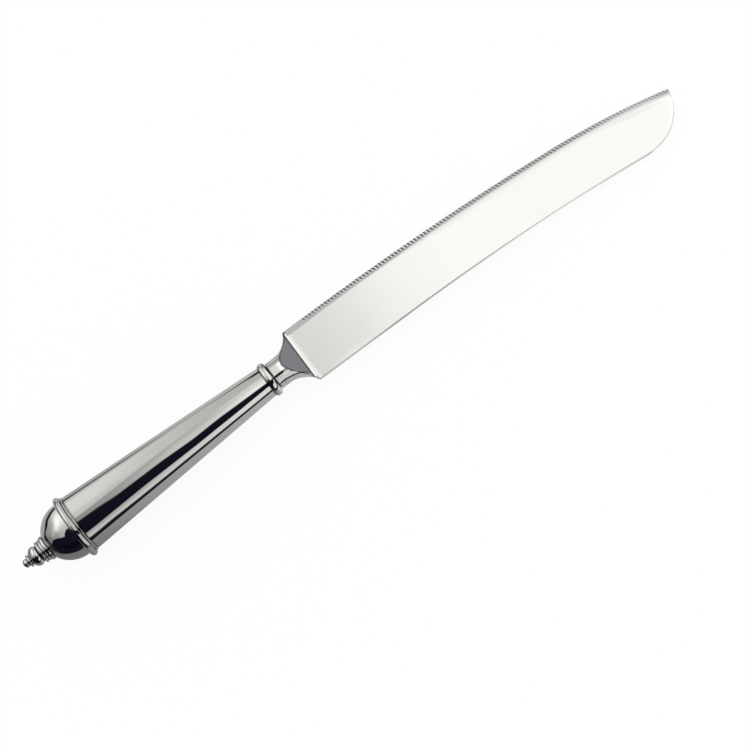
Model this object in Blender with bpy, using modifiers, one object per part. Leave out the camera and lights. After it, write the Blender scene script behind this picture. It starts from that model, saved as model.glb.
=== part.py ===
"""A cake knife with a turned, hollow handle and a finely fluted blade.

The pieces are drawn along the handle's axis: +X runs from the butt to the point, +Y to the
fluted edge and +Z across the thickness, and X is zero where the neck leaves the front ring.
An empty then lays the whole knife on its side, with collar and nose on the table.
"""

import math

import bmesh
import bpy
import numpy as np
from mathutils import Matrix, Vector

# Fits
FIT = 0.0003
OVERRUN = 0.002
WELD = 0.000001

# Blade
BLADE_THICKNESS = 0.0018
BLADE_LENGTH = 0.1824
HEEL_TO_EDGE = 0.0128
HEEL_TO_SPINE = 0.0129
EDGE_BOW_RADIUS = 1.274
EDGE_SWEEP_START = 0.1323
EDGE_SWEEP_RADIUS = 0.404
SPINE_STRAIGHT = 0.0455
SPINE_BOW_RADIUS = 1.046
SPINE_FALL_SHARE = 0.0105
NOSE_LENGTH = 0.0236
NOSE_SPINE_SHARE = 0.63
NOSE_TIP_SHARE = 0.55
NOSE_LEAN_SHARE = 0.2

# Fluted edge
BEVEL_WIDTH = 0.0030
BEVEL_DEPTH = 0.0014
FLUTE_PITCH = 0.00157
FLUTE_START = 0.0104
FLUTE_WIDTH = 0.00142
FLUTE_DEPTH = 0.0005
FLUTE_SLANT = math.radians(11)
FLUTE_RUNOUT_SHARE = 0.6

# Tang
TANG_THICKNESS = 0.0015
TANG_WIDTH = 0.0070
TANG_END_WIDTH = 0.0045
TANG_PARALLEL = 0.0240
TANG_LENGTH = 0.0600

# Bolster
NECK_RADIUS = 0.00604
NECK_LENGTH = 0.0032
SHOULDER_X = 0.0134
SHOULDER_HALF_WIDTH = 0.0124
SHOULDER_HEIGHT = 0.0022
FACET_SLOPE = math.radians(28)
FACET_WIDTH_SHARE = 0.86
FLARE_POWER = 2.4
LIP_LENGTH = 0.0020
LIP_THICKNESS = 0.0002
HEEL_SEAT = 0.0022
SPIGOT_RADIUS = 0.0052
SPIGOT_LENGTH = 0.0143

# Front ring
FRONT_RING_WIDTH = 0.0036
FRONT_RING_RADIUS = 0.00756
FRONT_RING_EDGE = 0.0006

# Handle body
BODY_LENGTH = 0.0929
BODY_FRONT_RADIUS = 0.0067
BODY_REAR_RADIUS = 0.0124
BODY_WALL = 0.0015
TENON_STEP = 0.0005

# Butt collar
COLLAR_BEAD_WIDTH = 0.0036
COLLAR_FILLET_WIDTH = 0.0009
COLLAR_FILLET_HEIGHT = 0.00045
COLLAR_STEP_WIDTH = 0.0003
COLLAR_STEP_HEIGHT = 0.0003
COLLAR_BEAD_HEIGHT = 0.0014

# Butt dome
DOME_RADIUS = 0.01205
DOME_DEPTH = 0.0127
DOME_WALL = 0.0012
DOME_OVERLAP = 0.0003

# Finial
PEG_RADIUS = 0.0015
PEG_LENGTH = 0.0075
PEG_CHAMFER = 0.0003
BASE_RING_RADIUS = 0.0060
TWIN_RING_RADIUS = 0.00524
TWIN_RING_WIDTH = 0.0013
RING_GROOVE = 0.0007
BALL_RADIUS = 0.0043
BALL_HALF_LENGTH = 0.0031
BALL_FOOT_RADIUS = 0.0036
TIP_RING_RADIUS = 0.0028
TIP_RING_WIDTH = 0.0012
TIP_BEAD_RADIUS = 0.0019
TIP_BEAD_HALF_LENGTH = 0.0014

# Facets
RIM_SEGMENTS = 40
SMALL_SEGMENTS = 32
EDGE_STATIONS = 36
SPINE_STATIONS = 18
NOSE_STATIONS = 14
FLARE_STATIONS = 9
FLUTE_SIDES = 8

# Places along the axis that more than one piece follows
HEEL_X = SHOULDER_X + LIP_LENGTH - HEEL_SEAT
LIP_X = SHOULDER_X + LIP_LENGTH
POINT_X = HEEL_X + BLADE_LENGTH
RING_FRONT_X = -FIT
RING_REAR_X = RING_FRONT_X - FRONT_RING_WIDTH
BODY_FRONT_X = RING_REAR_X - FIT
BODY_REAR_X = BODY_FRONT_X - BODY_LENGTH
COLLAR_FRONT_X = BODY_REAR_X - FIT
COLLAR_BEAD_X = COLLAR_FRONT_X - COLLAR_FILLET_WIDTH
COLLAR_CREST_X = COLLAR_BEAD_X - COLLAR_BEAD_WIDTH / 2
COLLAR_REAR_X = COLLAR_BEAD_X - COLLAR_BEAD_WIDTH - COLLAR_STEP_WIDTH
COLLAR_MIDDLE_X = (COLLAR_FRONT_X + COLLAR_REAR_X) / 2
DOME_MOUTH_X = COLLAR_REAR_X - FIT
DOME_CENTRE_X = COLLAR_REAR_X + DOME_OVERLAP
DOME_TOP_X = DOME_CENTRE_X - DOME_DEPTH
BASE_RING_REAR_X = DOME_TOP_X - FIT
BALL_FRONT_X = BASE_RING_REAR_X - 2 * TWIN_RING_WIDTH - FIT

# Radii that more than one piece follows
TENON_RADIUS = BODY_REAR_RADIUS - TENON_STEP
COLLAR_FILLET_RADIUS = BODY_REAR_RADIUS + COLLAR_FILLET_HEIGHT
COLLAR_STEP_RADIUS = BODY_REAR_RADIUS + COLLAR_STEP_HEIGHT
COLLAR_RADIUS = COLLAR_STEP_RADIUS + COLLAR_BEAD_HEIGHT
SPIGOT_BORE = SPIGOT_RADIUS + FIT
PEG_BORE = PEG_RADIUS + FIT
BODY_TAPER = (BODY_REAR_RADIUS - BODY_FRONT_RADIUS) / BODY_LENGTH
SLOT_HALF_THICKNESS = TANG_THICKNESS / 2 + FIT


def clear_scene():
    for old in list(bpy.data.objects):
        bpy.data.objects.remove(old)


def new_collection(name):
    group = bpy.data.collections.new(name)
    bpy.context.scene.collection.children.link(group)
    return group


def metal(name, colour, roughness, metallic=1.0):
    made = bpy.data.materials.new(name)
    made.use_nodes = True
    shader = made.node_tree.nodes["Principled BSDF"]
    shader.inputs["Base Color"].default_value = (*colour, 1.0)
    shader.inputs["Roughness"].default_value = roughness
    shader.inputs["Metallic"].default_value = metallic
    return made


def link(name, data, group):
    made = bpy.data.objects.new(name, data)
    group.objects.link(made)
    return made


def as_cutter(obj):
    obj.hide_render = True
    obj.display_type = "WIRE"
    return obj


def shade(mesh):
    """Smooth shading with creases kept at the turned corners."""
    mesh.shade_smooth()
    mesh.set_sharp_from_angle(angle=math.radians(30))


def arc(centre_x, centre_r, half_x, half_r, start, end, count):
    """Points of an elliptical arc in the (x, radius) plane, angles from +X towards +radius."""
    angles = np.radians(np.linspace(start, end, count))
    return [(centre_x + half_x * math.cos(a), centre_r + half_r * math.sin(a)) for a in angles]


def bead(front_x, rear_x, foot, crest, count):
    """A half-round moulding, from its front foot over the crest to its rear foot."""
    middle = (front_x + rear_x) / 2
    return arc(middle, foot, (front_x - rear_x) / 2, crest - foot, 0, 180, count)


def turned(name, profile, group, segments, bored):
    """A turned piece: (x, radius) points run rearwards outside, then back through the bore."""
    sketch = bmesh.new()
    corners = [sketch.verts.new((radius, 0, x)) for x, radius in profile]
    for first, second in zip(corners, corners[1:]):
        sketch.edges.new((first, second))
    if bored:
        sketch.edges.new((corners[-1], corners[0]))
    mesh = bpy.data.meshes.new(name)
    sketch.to_mesh(mesh)
    sketch.free()
    made = link(name, mesh, group)
    made.rotation_euler = (0, math.radians(90), 0)
    screw = made.modifiers.new("turn", "SCREW")
    screw.axis = "Z"
    screw.angle = math.radians(360)
    screw.steps = screw.render_steps = segments
    screw.use_merge_vertices = True
    screw.merge_threshold = WELD
    screw.use_smooth_shade = True
    return made


def plate(name, outline, half_thickness, group):
    """A flat outline in the XY plane, given its thickness both ways, as a mesh object."""
    curve = bpy.data.curves.new(name, "CURVE")
    curve.dimensions = "2D"
    curve.fill_mode = "BOTH"
    curve.extrude = half_thickness
    spline = curve.splines.new("POLY")
    spline.points.add(len(outline) - 1)
    for point, (x, y) in zip(spline.points, outline):
        point.co = (x, y, 0, 1)
    spline.use_cyclic_u = True
    return curve_to_mesh(name, link(name, curve, group), group)


def curve_to_mesh(name, source, group):
    graph = bpy.context.evaluated_depsgraph_get()
    mesh = bpy.data.meshes.new_from_object(source.evaluated_get(graph))
    placed = source.matrix_world.copy()
    bpy.data.objects.remove(source)
    solid = bmesh.new()
    solid.from_mesh(mesh)
    bmesh.ops.remove_doubles(solid, verts=solid.verts, dist=WELD)
    bmesh.ops.recalc_face_normals(solid, faces=solid.faces)
    solid.to_mesh(mesh)
    solid.free()
    made = link(name, mesh, group)
    made.matrix_world = placed
    return made


def box(name, low, high, group):
    """A box between two corners."""
    size = [b - a for a, b in zip(low, high)]
    middle = [(a + b) / 2 for a, b in zip(low, high)]
    solid = bmesh.new()
    bmesh.ops.create_cube(solid, size=1, matrix=Matrix.LocRotScale(middle, None, size))
    mesh = bpy.data.meshes.new(name)
    solid.to_mesh(mesh)
    solid.free()
    return link(name, mesh, group)


def combine(target, operation, tool):
    step = target.modifiers.new(tool.name, "BOOLEAN")
    step.operation = operation
    step.solver = "EXACT"
    step.object = tool


def edge_y(x):
    """The fluted edge: a long bow, with a tighter sweep added towards the point."""
    run = x - HEEL_X
    swept = max(run - EDGE_SWEEP_START, 0)
    return HEEL_TO_EDGE - run**2 / (2 * EDGE_BOW_RADIUS) - swept**2 / (2 * EDGE_SWEEP_RADIUS)


def edge_slope(x):
    run = x - HEEL_X
    swept = max(run - EDGE_SWEEP_START, 0)
    return -run / EDGE_BOW_RADIUS - swept / EDGE_SWEEP_RADIUS


def spine_y(x):
    """The spine: nearly straight behind, then falling away in one long bow."""
    run = x - HEEL_X
    bowed = max(run - SPINE_STRAIGHT, 0)
    return -HEEL_TO_SPINE - SPINE_FALL_SHARE * run - bowed**2 / (2 * SPINE_BOW_RADIUS)


def spine_slope(x):
    bowed = max(x - HEEL_X - SPINE_STRAIGHT, 0)
    return -SPINE_FALL_SHARE - bowed / SPINE_BOW_RADIUS


def nose_points(count):
    """The rounded nose, from the point round to the spine, as one cubic curve."""
    start_x = POINT_X - NOSE_LENGTH
    spine_end = Vector((start_x, spine_y(start_x)))
    point = Vector((POINT_X, edge_y(POINT_X)))
    along_spine = Vector((1, spine_slope(start_x))).normalized()
    up_nose = Vector((NOSE_LEAN_SHARE, 1)).normalized()
    near_spine = spine_end + along_spine * NOSE_SPINE_SHARE * NOSE_LENGTH
    near_point = point - up_nose * NOSE_TIP_SHARE * (point.y - spine_end.y)
    points = []
    for t in np.linspace(0, 1, count):
        inner = point * (1 - t) ** 3 + near_point * 3 * t * (1 - t) ** 2
        points.append(inner + near_spine * 3 * t**2 * (1 - t) + spine_end * t**3)
    return [(p.x, p.y) for p in points]


def tang_outline(grown):
    """The tang's half outline from heel to end, wider and longer by the clearance given."""
    end_x = HEEL_X - TANG_LENGTH - grown
    taper_x = HEEL_X - TANG_PARALLEL
    half = TANG_WIDTH / 2 + grown
    end_half = TANG_END_WIDTH / 2 + grown
    rounding = arc(end_x + end_half, 0, end_half, end_half, 90, 180, 5)
    return [(HEEL_X, half), (taper_x, half)] + rounding


def mirrored_outline(half_outline):
    """Closes a half outline on the axis by its mirror image in Y."""
    other = [(x, -y) for x, y in reversed(half_outline) if y > WELD]
    return half_outline + other


def flute_frame(distance_x):
    """The matrix of one flute: X across it, Y out of the bevel, Z along it to its inner end."""
    slope = edge_slope(distance_x)
    along = Vector((1, slope, 0)).normalized()
    outward = Vector((-along.y, along.x, 0))
    bevel_angle = math.atan2(BEVEL_DEPTH, BEVEL_WIDTH)
    inward = Vector((0, 0, math.sin(bevel_angle))) - outward * math.cos(bevel_angle)
    run = inward * math.cos(FLUTE_SLANT) + along * math.sin(FLUTE_SLANT)
    up = Vector((0, 0, math.cos(bevel_angle))) + outward * math.sin(bevel_angle)
    across = up.cross(run)
    turn = Matrix((across, up, run)).transposed().to_4x4()
    foot = Vector((distance_x, edge_y(distance_x), BLADE_THICKNESS / 2 - BEVEL_DEPTH))
    return Matrix.Translation(foot) @ turn


def flute_places():
    """Stations of the flutes, one pitch apart along the curved edge."""
    step = FLUTE_PITCH / EDGE_STATIONS
    places = []
    x = HEEL_X
    travelled = 0
    wanted = FLUTE_START
    while x < POINT_X - FLUTE_WIDTH / 2:
        travelled += step
        x += step / math.hypot(1, edge_slope(x))
        if travelled >= wanted:
            places.append(x)
            wanted += FLUTE_PITCH
    return places


def flute_cutter(group):
    """All the flutes, each a flattened cone that narrows as it runs out of the bevel."""
    length = math.hypot(BEVEL_WIDTH, BEVEL_DEPTH) / math.cos(FLUTE_SLANT)
    reach = length + 2 * FLUTE_DEPTH
    size = Matrix.Diagonal((FLUTE_WIDTH / 2, FLUTE_DEPTH, reach, 1))
    lift = Matrix.Translation((0, 0, length / 2))
    solid = bmesh.new()
    for place in flute_places():
        bmesh.ops.create_cone(
            solid,
            cap_ends=True,
            segments=FLUTE_SIDES,
            radius1=1,
            radius2=FLUTE_RUNOUT_SHARE,
            depth=1,
            matrix=flute_frame(place) @ lift @ size,
        )
    mesh = bpy.data.meshes.new("flute_cutter")
    solid.to_mesh(mesh)
    solid.free()
    return as_cutter(link("flute_cutter", mesh, group))


def bevel_cutter(group):
    """The wedge ground off the upper side of the edge, swept along it from heel to point."""
    top = BLADE_THICKNESS / 2
    rise = OVERRUN * BEVEL_DEPTH / BEVEL_WIDTH
    corners = [
        (-OVERRUN, top - BEVEL_DEPTH - rise),
        (-OVERRUN, top + OVERRUN),
        (BEVEL_WIDTH + OVERRUN, top + OVERRUN),
        (BEVEL_WIDTH + OVERRUN, top + rise),
    ]
    section = bpy.data.curves.new("bevel_section", "CURVE")
    section.dimensions = "2D"
    section.fill_mode = "NONE"
    line = section.splines.new("POLY")
    line.points.add(len(corners) - 1)
    for point, (x, y) in zip(line.points, corners):
        point.co = (x, y, 0, 1)
    line.use_cyclic_u = True
    profile = link("bevel_section", section, group)
    path = bpy.data.curves.new("bevel_path", "CURVE")
    path.dimensions = "3D"
    path.twist_mode = "Z_UP"
    path.bevel_mode = "OBJECT"
    path.bevel_object = profile
    path.use_fill_caps = True
    stations = np.linspace(HEEL_X - OVERRUN, POINT_X + OVERRUN, EDGE_STATIONS + 1)
    track = path.splines.new("POLY")
    track.points.add(len(stations) - 1)
    for point, x in zip(track.points, stations):
        point.co = (x, edge_y(x), 0, 1)
    cutter = curve_to_mesh("bevel_cutter", link("bevel_path", path, group), group)
    bpy.data.objects.remove(profile)
    return as_cutter(cutter)


def rebate_cutters(group):
    """What is ground off both faces of the tang and of the heel inside the bolster."""
    rear = HEEL_X - TANG_LENGTH - OVERRUN
    side = HEEL_TO_SPINE + OVERRUN
    near = TANG_THICKNESS / 2
    far = BLADE_THICKNESS / 2 + OVERRUN
    front = LIP_X + FIT
    upper = box("rebate_upper", (rear, -side, near), (front, side, far), group)
    lower = box("rebate_lower", (rear, -side, -far), (front, side, -near), group)
    return as_cutter(upper), as_cutter(lower)


def make_blade(group, cutters):
    """The stamped blank with its tang, rebated at the heel, bevelled and fluted."""
    edge = [(x, edge_y(x)) for x in np.linspace(HEEL_X, POINT_X, EDGE_STATIONS)]
    spine_xs = np.linspace(POINT_X - NOSE_LENGTH, HEEL_X, SPINE_STATIONS)
    spine = [(x, spine_y(x)) for x in spine_xs]
    upper_tang = tang_outline(0)
    tang = [(x, -y) for x, y in upper_tang] + list(reversed(upper_tang))[1:]
    outline = edge + nose_points(NOSE_STATIONS)[1:-1] + spine + tang
    blade = plate("blade", outline, BLADE_THICKNESS / 2, group)
    for cutter in rebate_cutters(cutters):
        combine(blade, "DIFFERENCE", cutter)
    combine(blade, "DIFFERENCE", bevel_cutter(cutters))
    combine(blade, "DIFFERENCE", flute_cutter(cutters))
    return blade


def facet_height(x):
    """Height of the sloping facet above the middle plane, level past the shoulder."""
    return SHOULDER_HEIGHT + max(SHOULDER_X - x, 0) * math.tan(FACET_SLOPE)


def bolster_half_width(x):
    """The neck's radius, flaring in plan to the width of the blade's heel."""
    share = min(max((x - NECK_LENGTH) / (SHOULDER_X - NECK_LENGTH), 0), 1)
    return NECK_RADIUS + (SHOULDER_HALF_WIDTH - NECK_RADIUS) * share**FLARE_POWER


def bolster_half_height(x):
    """Round while the facet allows it, then flattened so that the facet keeps its width."""
    flattened = facet_height(x) / math.sqrt(1 - FACET_WIDTH_SHARE**2)
    return min(bolster_half_width(x), flattened)


def loft(name, stations, group, segments):
    """A closed skin through elliptical sections of (x, half width, half height)."""
    angles = np.linspace(0, 2 * math.pi, segments, endpoint=False)
    solid = bmesh.new()
    rings = []
    for x, half_width, half_height in stations:
        ring = [(x, half_width * math.cos(a), half_height * math.sin(a)) for a in angles]
        rings.append([solid.verts.new(corner) for corner in ring])
    for near, far in zip(rings, rings[1:]):
        for i in range(segments):
            j = (i + 1) % segments
            solid.faces.new((near[i], far[i], far[j], near[j]))
    solid.faces.new(rings[0])
    solid.faces.new(list(reversed(rings[-1])))
    bmesh.ops.recalc_face_normals(solid, faces=solid.faces)
    mesh = bpy.data.meshes.new(name)
    solid.to_mesh(mesh)
    solid.free()
    return link(name, mesh, group)


def facet_envelope(group):
    """The bolster's outline seen from its side: two facets, the shoulders and hollow lips."""
    clear = NECK_RADIUS + OVERRUN
    meets_x = SHOULDER_X - (clear - SHOULDER_HEIGHT) / math.tan(FACET_SLOPE)
    lip_z = SLOT_HALF_THICKNESS + LIP_THICKNESS
    hollow = arc(LIP_X, SHOULDER_HEIGHT, -LIP_LENGTH, lip_z - SHOULDER_HEIGHT, 0, 90, 6)
    upper = [(-SPIGOT_LENGTH - OVERRUN, clear), (meets_x, clear)] + hollow
    envelope = plate("facet_envelope", mirrored_outline(upper), 2 * SHOULDER_HALF_WIDTH, group)
    envelope.rotation_euler = (math.radians(90), 0, 0)
    return as_cutter(envelope)


def slot_cutter(group):
    """The slot that takes the tang, opening to full width where it takes the heel."""
    seat_x = HEEL_X - FIT
    half = TANG_WIDTH / 2 + FIT
    side = SHOULDER_HALF_WIDTH + OVERRUN
    upper = [
        (LIP_X + OVERRUN, side),
        (seat_x, side),
        (seat_x, half),
        (-SPIGOT_LENGTH - OVERRUN, half),
    ]
    return as_cutter(plate("slot_cutter", mirrored_outline(upper), SLOT_HALF_THICKNESS, group))


def make_bolster(group, cutters):
    """Spigot, round neck and the flare, cut to its facets and slotted for the blade."""
    front_x = LIP_X + OVERRUN
    flare = np.linspace(NECK_LENGTH, SHOULDER_X, FLARE_STATIONS)
    stations = [(-SPIGOT_LENGTH, SPIGOT_RADIUS, SPIGOT_RADIUS), (0, SPIGOT_RADIUS, SPIGOT_RADIUS)]
    for x in [0, *flare, front_x]:
        stations.append((x, bolster_half_width(x), bolster_half_height(x)))
    bolster = loft("bolster", stations, group, RIM_SEGMENTS)
    combine(bolster, "INTERSECT", facet_envelope(cutters))
    combine(bolster, "DIFFERENCE", slot_cutter(cutters))
    return bolster


def make_front_ring(group):
    """The bead ring that covers the joint between neck and body."""
    edge_radius = FRONT_RING_RADIUS - FRONT_RING_EDGE
    outside = bead(RING_FRONT_X, RING_REAR_X, edge_radius, FRONT_RING_RADIUS, 9)
    profile = outside + [(RING_REAR_X, SPIGOT_BORE), (RING_FRONT_X, SPIGOT_BORE)]
    return turned("front_ring", profile, group, RIM_SEGMENTS, True)


def body_inner_radius(x):
    return BODY_FRONT_RADIUS + (BODY_FRONT_X - x) * BODY_TAPER - BODY_WALL


def make_handle_body(group):
    """The tapered tube: bored for the spigot in front, turned down to a tenon behind."""
    tenon_x = COLLAR_MIDDLE_X + FIT / 2
    bore_end_x = -SPIGOT_LENGTH - FIT
    rear_inner = body_inner_radius(BODY_REAR_X)
    profile = [
        (BODY_FRONT_X, BODY_FRONT_RADIUS),
        (BODY_REAR_X, BODY_REAR_RADIUS),
        (BODY_REAR_X, TENON_RADIUS),
        (tenon_x, TENON_RADIUS),
        (tenon_x, rear_inner),
        (BODY_REAR_X, rear_inner),
        (bore_end_x, body_inner_radius(bore_end_x)),
        (bore_end_x, SPIGOT_BORE),
        (BODY_FRONT_X, SPIGOT_BORE),
    ]
    return turned("handle_body", profile, group, RIM_SEGMENTS, True)


def make_butt_collar(group):
    """The large bead, a fillet ring in front and a narrow step behind, that joins body and dome."""
    bead_rear = COLLAR_REAR_X + COLLAR_STEP_WIDTH
    bore = TENON_RADIUS + FIT
    profile = bead(COLLAR_FRONT_X, COLLAR_BEAD_X, BODY_REAR_RADIUS, COLLAR_FILLET_RADIUS, 5)
    profile += bead(COLLAR_BEAD_X, bead_rear, COLLAR_STEP_RADIUS, COLLAR_RADIUS, 13)
    profile += [(COLLAR_REAR_X, COLLAR_STEP_RADIUS), (COLLAR_REAR_X, bore), (COLLAR_FRONT_X, bore)]
    return turned("butt_collar", profile, group, RIM_SEGMENTS, True)


def dome_angle(depth, offset):
    """Angle on an ellipse of the given depth at which it lies offset behind its centre."""
    return 180 - math.degrees(math.acos(min(offset / depth, 1)))


def make_butt_dome(group):
    """The spun dome: a cup with a tenon at its mouth and a hole for the finial's peg."""
    mouth = dome_angle(DOME_DEPTH, DOME_CENTRE_X - DOME_MOUTH_X)
    hole = 180 - math.degrees(math.asin(PEG_BORE / DOME_RADIUS))
    inner_depth = DOME_DEPTH - DOME_WALL
    inner_radius = DOME_RADIUS - DOME_WALL
    inner_hole = 180 - math.degrees(math.asin(PEG_BORE / inner_radius))
    tenon_x = COLLAR_MIDDLE_X - FIT / 2
    profile = [(tenon_x, TENON_RADIUS - FIT), (DOME_MOUTH_X, TENON_RADIUS - FIT)]
    profile += arc(DOME_CENTRE_X, 0, DOME_DEPTH, DOME_RADIUS, mouth, hole, 15)
    profile += arc(DOME_CENTRE_X, 0, inner_depth, inner_radius, inner_hole, 90, 7)
    profile += [(tenon_x, inner_radius)]
    return turned("butt_dome", profile, group, RIM_SEGMENTS, True)


def dome_surface_x(radius):
    return DOME_CENTRE_X - DOME_DEPTH * math.sqrt(1 - (radius / DOME_RADIUS) ** 2)


def make_finial_collar(group):
    """Three stacked rings, hollowed in front to sit on the crown of the dome."""
    seat_radius = BASE_RING_RADIUS - RING_GROOVE / 2
    seat = [(dome_surface_x(r) - FIT, r) for r in np.linspace(PEG_BORE, seat_radius, 5)]
    front_x = seat[-1][0]
    first_x = BASE_RING_REAR_X - TWIN_RING_WIDTH
    rear_x = first_x - TWIN_RING_WIDTH
    twin_foot = TWIN_RING_RADIUS - RING_GROOVE
    profile = bead(front_x, BASE_RING_REAR_X, seat_radius, BASE_RING_RADIUS, 9)[1:]
    profile += bead(BASE_RING_REAR_X, first_x, twin_foot, TWIN_RING_RADIUS, 7)
    profile += bead(first_x, rear_x, twin_foot, TWIN_RING_RADIUS, 7)[1:]
    profile += [(rear_x, PEG_BORE)] + seat
    return turned("finial_collar", profile, group, SMALL_SEGMENTS, True)


def make_finial(group):
    """The ball with its thin ring and end bead, and the peg that goes into the dome."""
    peg_x = BALL_FRONT_X + PEG_LENGTH
    foot_angle = math.degrees(math.asin(BALL_FOOT_RADIUS / BALL_RADIUS))
    centre_x = BALL_FRONT_X - BALL_HALF_LENGTH * math.cos(math.radians(foot_angle))
    ring_front_x = centre_x - BALL_HALF_LENGTH * math.cos(math.radians(foot_angle / 2))
    ring_foot = BALL_RADIUS * math.sin(math.radians(foot_angle / 2))
    ring_rear_x = ring_front_x - TIP_RING_WIDTH
    tip_centre_x = ring_rear_x - TIP_BEAD_HALF_LENGTH * math.cos(math.radians(45))
    profile = [(peg_x, 0), (peg_x, PEG_RADIUS - PEG_CHAMFER), (peg_x - PEG_CHAMFER, PEG_RADIUS)]
    profile += [(BALL_FRONT_X, PEG_RADIUS)]
    half_round = 180 - foot_angle / 2
    profile += arc(centre_x, 0, BALL_HALF_LENGTH, BALL_RADIUS, foot_angle, half_round, 13)
    profile += bead(ring_front_x, ring_rear_x, ring_foot, TIP_RING_RADIUS, 7)[1:]
    tip = arc(tip_centre_x, 0, TIP_BEAD_HALF_LENGTH, TIP_BEAD_RADIUS, 45, 180, 9)
    profile += tip[:-1] + [(tip[-1][0], 0)]
    return turned("finial", profile, group, SMALL_SEGMENTS, False)


def make_handle_filler(group, cutters):
    """The set cement that fills body and dome, keeping clear of tang, spigot and peg."""
    front_x = -SPIGOT_LENGTH - 2 * FIT
    front_radius = body_inner_radius(front_x) - FIT
    rear_radius = body_inner_radius(BODY_REAR_X) - FIT
    crown_depth = DOME_DEPTH - DOME_WALL - FIT
    crown_radius = DOME_RADIUS - DOME_WALL - FIT
    hollow = PEG_BORE
    recess_x = BALL_FRONT_X + PEG_LENGTH + FIT
    hole = 180 - math.degrees(math.asin(hollow / crown_radius))
    profile = [(front_x, 0), (front_x, front_radius), (BODY_REAR_X, rear_radius)]
    profile += arc(DOME_CENTRE_X, 0, crown_depth, crown_radius, 90, hole, 11)
    profile += [(recess_x, hollow), (recess_x, 0)]
    filler = turned("handle_filler", profile, group, SMALL_SEGMENTS, False)
    outline = mirrored_outline(tang_outline(FIT))
    socket = as_cutter(plate("tang_socket", outline, SLOT_HALF_THICKNESS, cutters))
    combine(filler, "DIFFERENCE", socket)
    return filler


def world_points(parts):
    graph = bpy.context.evaluated_depsgraph_get()
    found = []
    for part in parts:
        solid = part.evaluated_get(graph)
        mesh = solid.to_mesh()
        points = np.empty(len(mesh.vertices) * 3)
        mesh.vertices.foreach_get("co", points)
        world = np.array(solid.matrix_world)
        found.append(points.reshape(-1, 3) @ world[:3, :3].T + world[:3, 3])
        solid.to_mesh_clear()
    return np.vstack(found)


def lay_down(axis, parts):
    """Tips the knife until collar and nose touch the table, and centres it over the origin."""
    drop = COLLAR_RADIUS - BLADE_THICKNESS / 2
    axis.rotation_euler = (0, math.atan2(drop, POINT_X - COLLAR_CREST_X), 0)
    bpy.context.view_layer.update()
    points = world_points(parts)
    low = points.min(axis=0)
    high = points.max(axis=0)
    axis.location = (-(low[0] + high[0]) / 2, -(low[1] + high[1]) / 2, -low[2])
    bpy.context.view_layer.update()


def build():
    clear_scene()
    knife = new_collection("cake_knife")
    cutters = new_collection("cutters")
    cutters.hide_render = True
    mirror_steel = metal("polished_blade_steel", (0.80, 0.80, 0.78), 0.10)
    bright_plate = metal("bright_plated_handle", (0.76, 0.76, 0.77), 0.06)
    cement = metal("handle_cement", (0.42, 0.40, 0.37), 0.90, 0.0)
    axis = link("handle_axis", None, knife)
    finishes = {
        make_blade(knife, cutters): mirror_steel,
        make_bolster(knife, cutters): bright_plate,
        make_front_ring(knife): bright_plate,
        make_handle_body(knife): bright_plate,
        make_handle_filler(knife, cutters): cement,
        make_butt_collar(knife): bright_plate,
        make_butt_dome(knife): bright_plate,
        make_finial_collar(knife): bright_plate,
        make_finial(knife): bright_plate,
    }
    for part, finish in finishes.items():
        part.data.materials.append(finish)
        shade(part.data)
        part.parent = axis
    for cutter in cutters.objects:
        cutter.parent = axis
    lay_down(axis, list(finishes))


build()
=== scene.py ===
import math

import bmesh
import bpy
import numpy as np
from mathutils import Matrix


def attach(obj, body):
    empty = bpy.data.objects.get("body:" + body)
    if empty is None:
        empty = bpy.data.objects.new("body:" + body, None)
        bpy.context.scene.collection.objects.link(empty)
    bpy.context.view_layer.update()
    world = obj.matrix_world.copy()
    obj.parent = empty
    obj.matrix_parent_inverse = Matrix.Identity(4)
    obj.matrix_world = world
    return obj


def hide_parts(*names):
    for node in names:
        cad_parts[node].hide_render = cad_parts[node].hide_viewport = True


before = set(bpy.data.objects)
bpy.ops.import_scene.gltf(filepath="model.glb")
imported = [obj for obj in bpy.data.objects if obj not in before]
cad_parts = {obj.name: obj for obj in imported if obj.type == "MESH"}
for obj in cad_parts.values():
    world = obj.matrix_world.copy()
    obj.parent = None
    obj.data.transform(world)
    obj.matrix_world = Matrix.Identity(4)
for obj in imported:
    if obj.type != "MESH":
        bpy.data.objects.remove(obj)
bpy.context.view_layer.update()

# The knife is drawn along its handle: +X to the point, +Y to the fluted edge, +Z across the
# thickness, X zero where the neck leaves the front ring. Lengths are in metres.
MM = 0.001
GAP = 0.3 * MM

# Blade
THICKNESS = 1.8 * MM
HEEL_X = 13.2 * MM
POINT_X = 195.6 * MM
HEEL_TO_EDGE = 12.8 * MM
HEEL_TO_SPINE = 12.9 * MM
EDGE_BOW = 1274 * MM
EDGE_SWEEP_START = 132.3 * MM
EDGE_SWEEP = 404 * MM
SPINE_STRAIGHT = 45.5 * MM
SPINE_BOW = 1046 * MM
SPINE_FALL = 0.0105
NOSE_LENGTH = 23.6 * MM
NOSE_SPINE_SHARE = 0.63
NOSE_TIP_SHARE = 0.55
NOSE_LEAN_SHARE = 0.2
BACK_ROUNDING = 0.28 * MM
BACK_ROUNDING_LIMIT = 0.2

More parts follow.
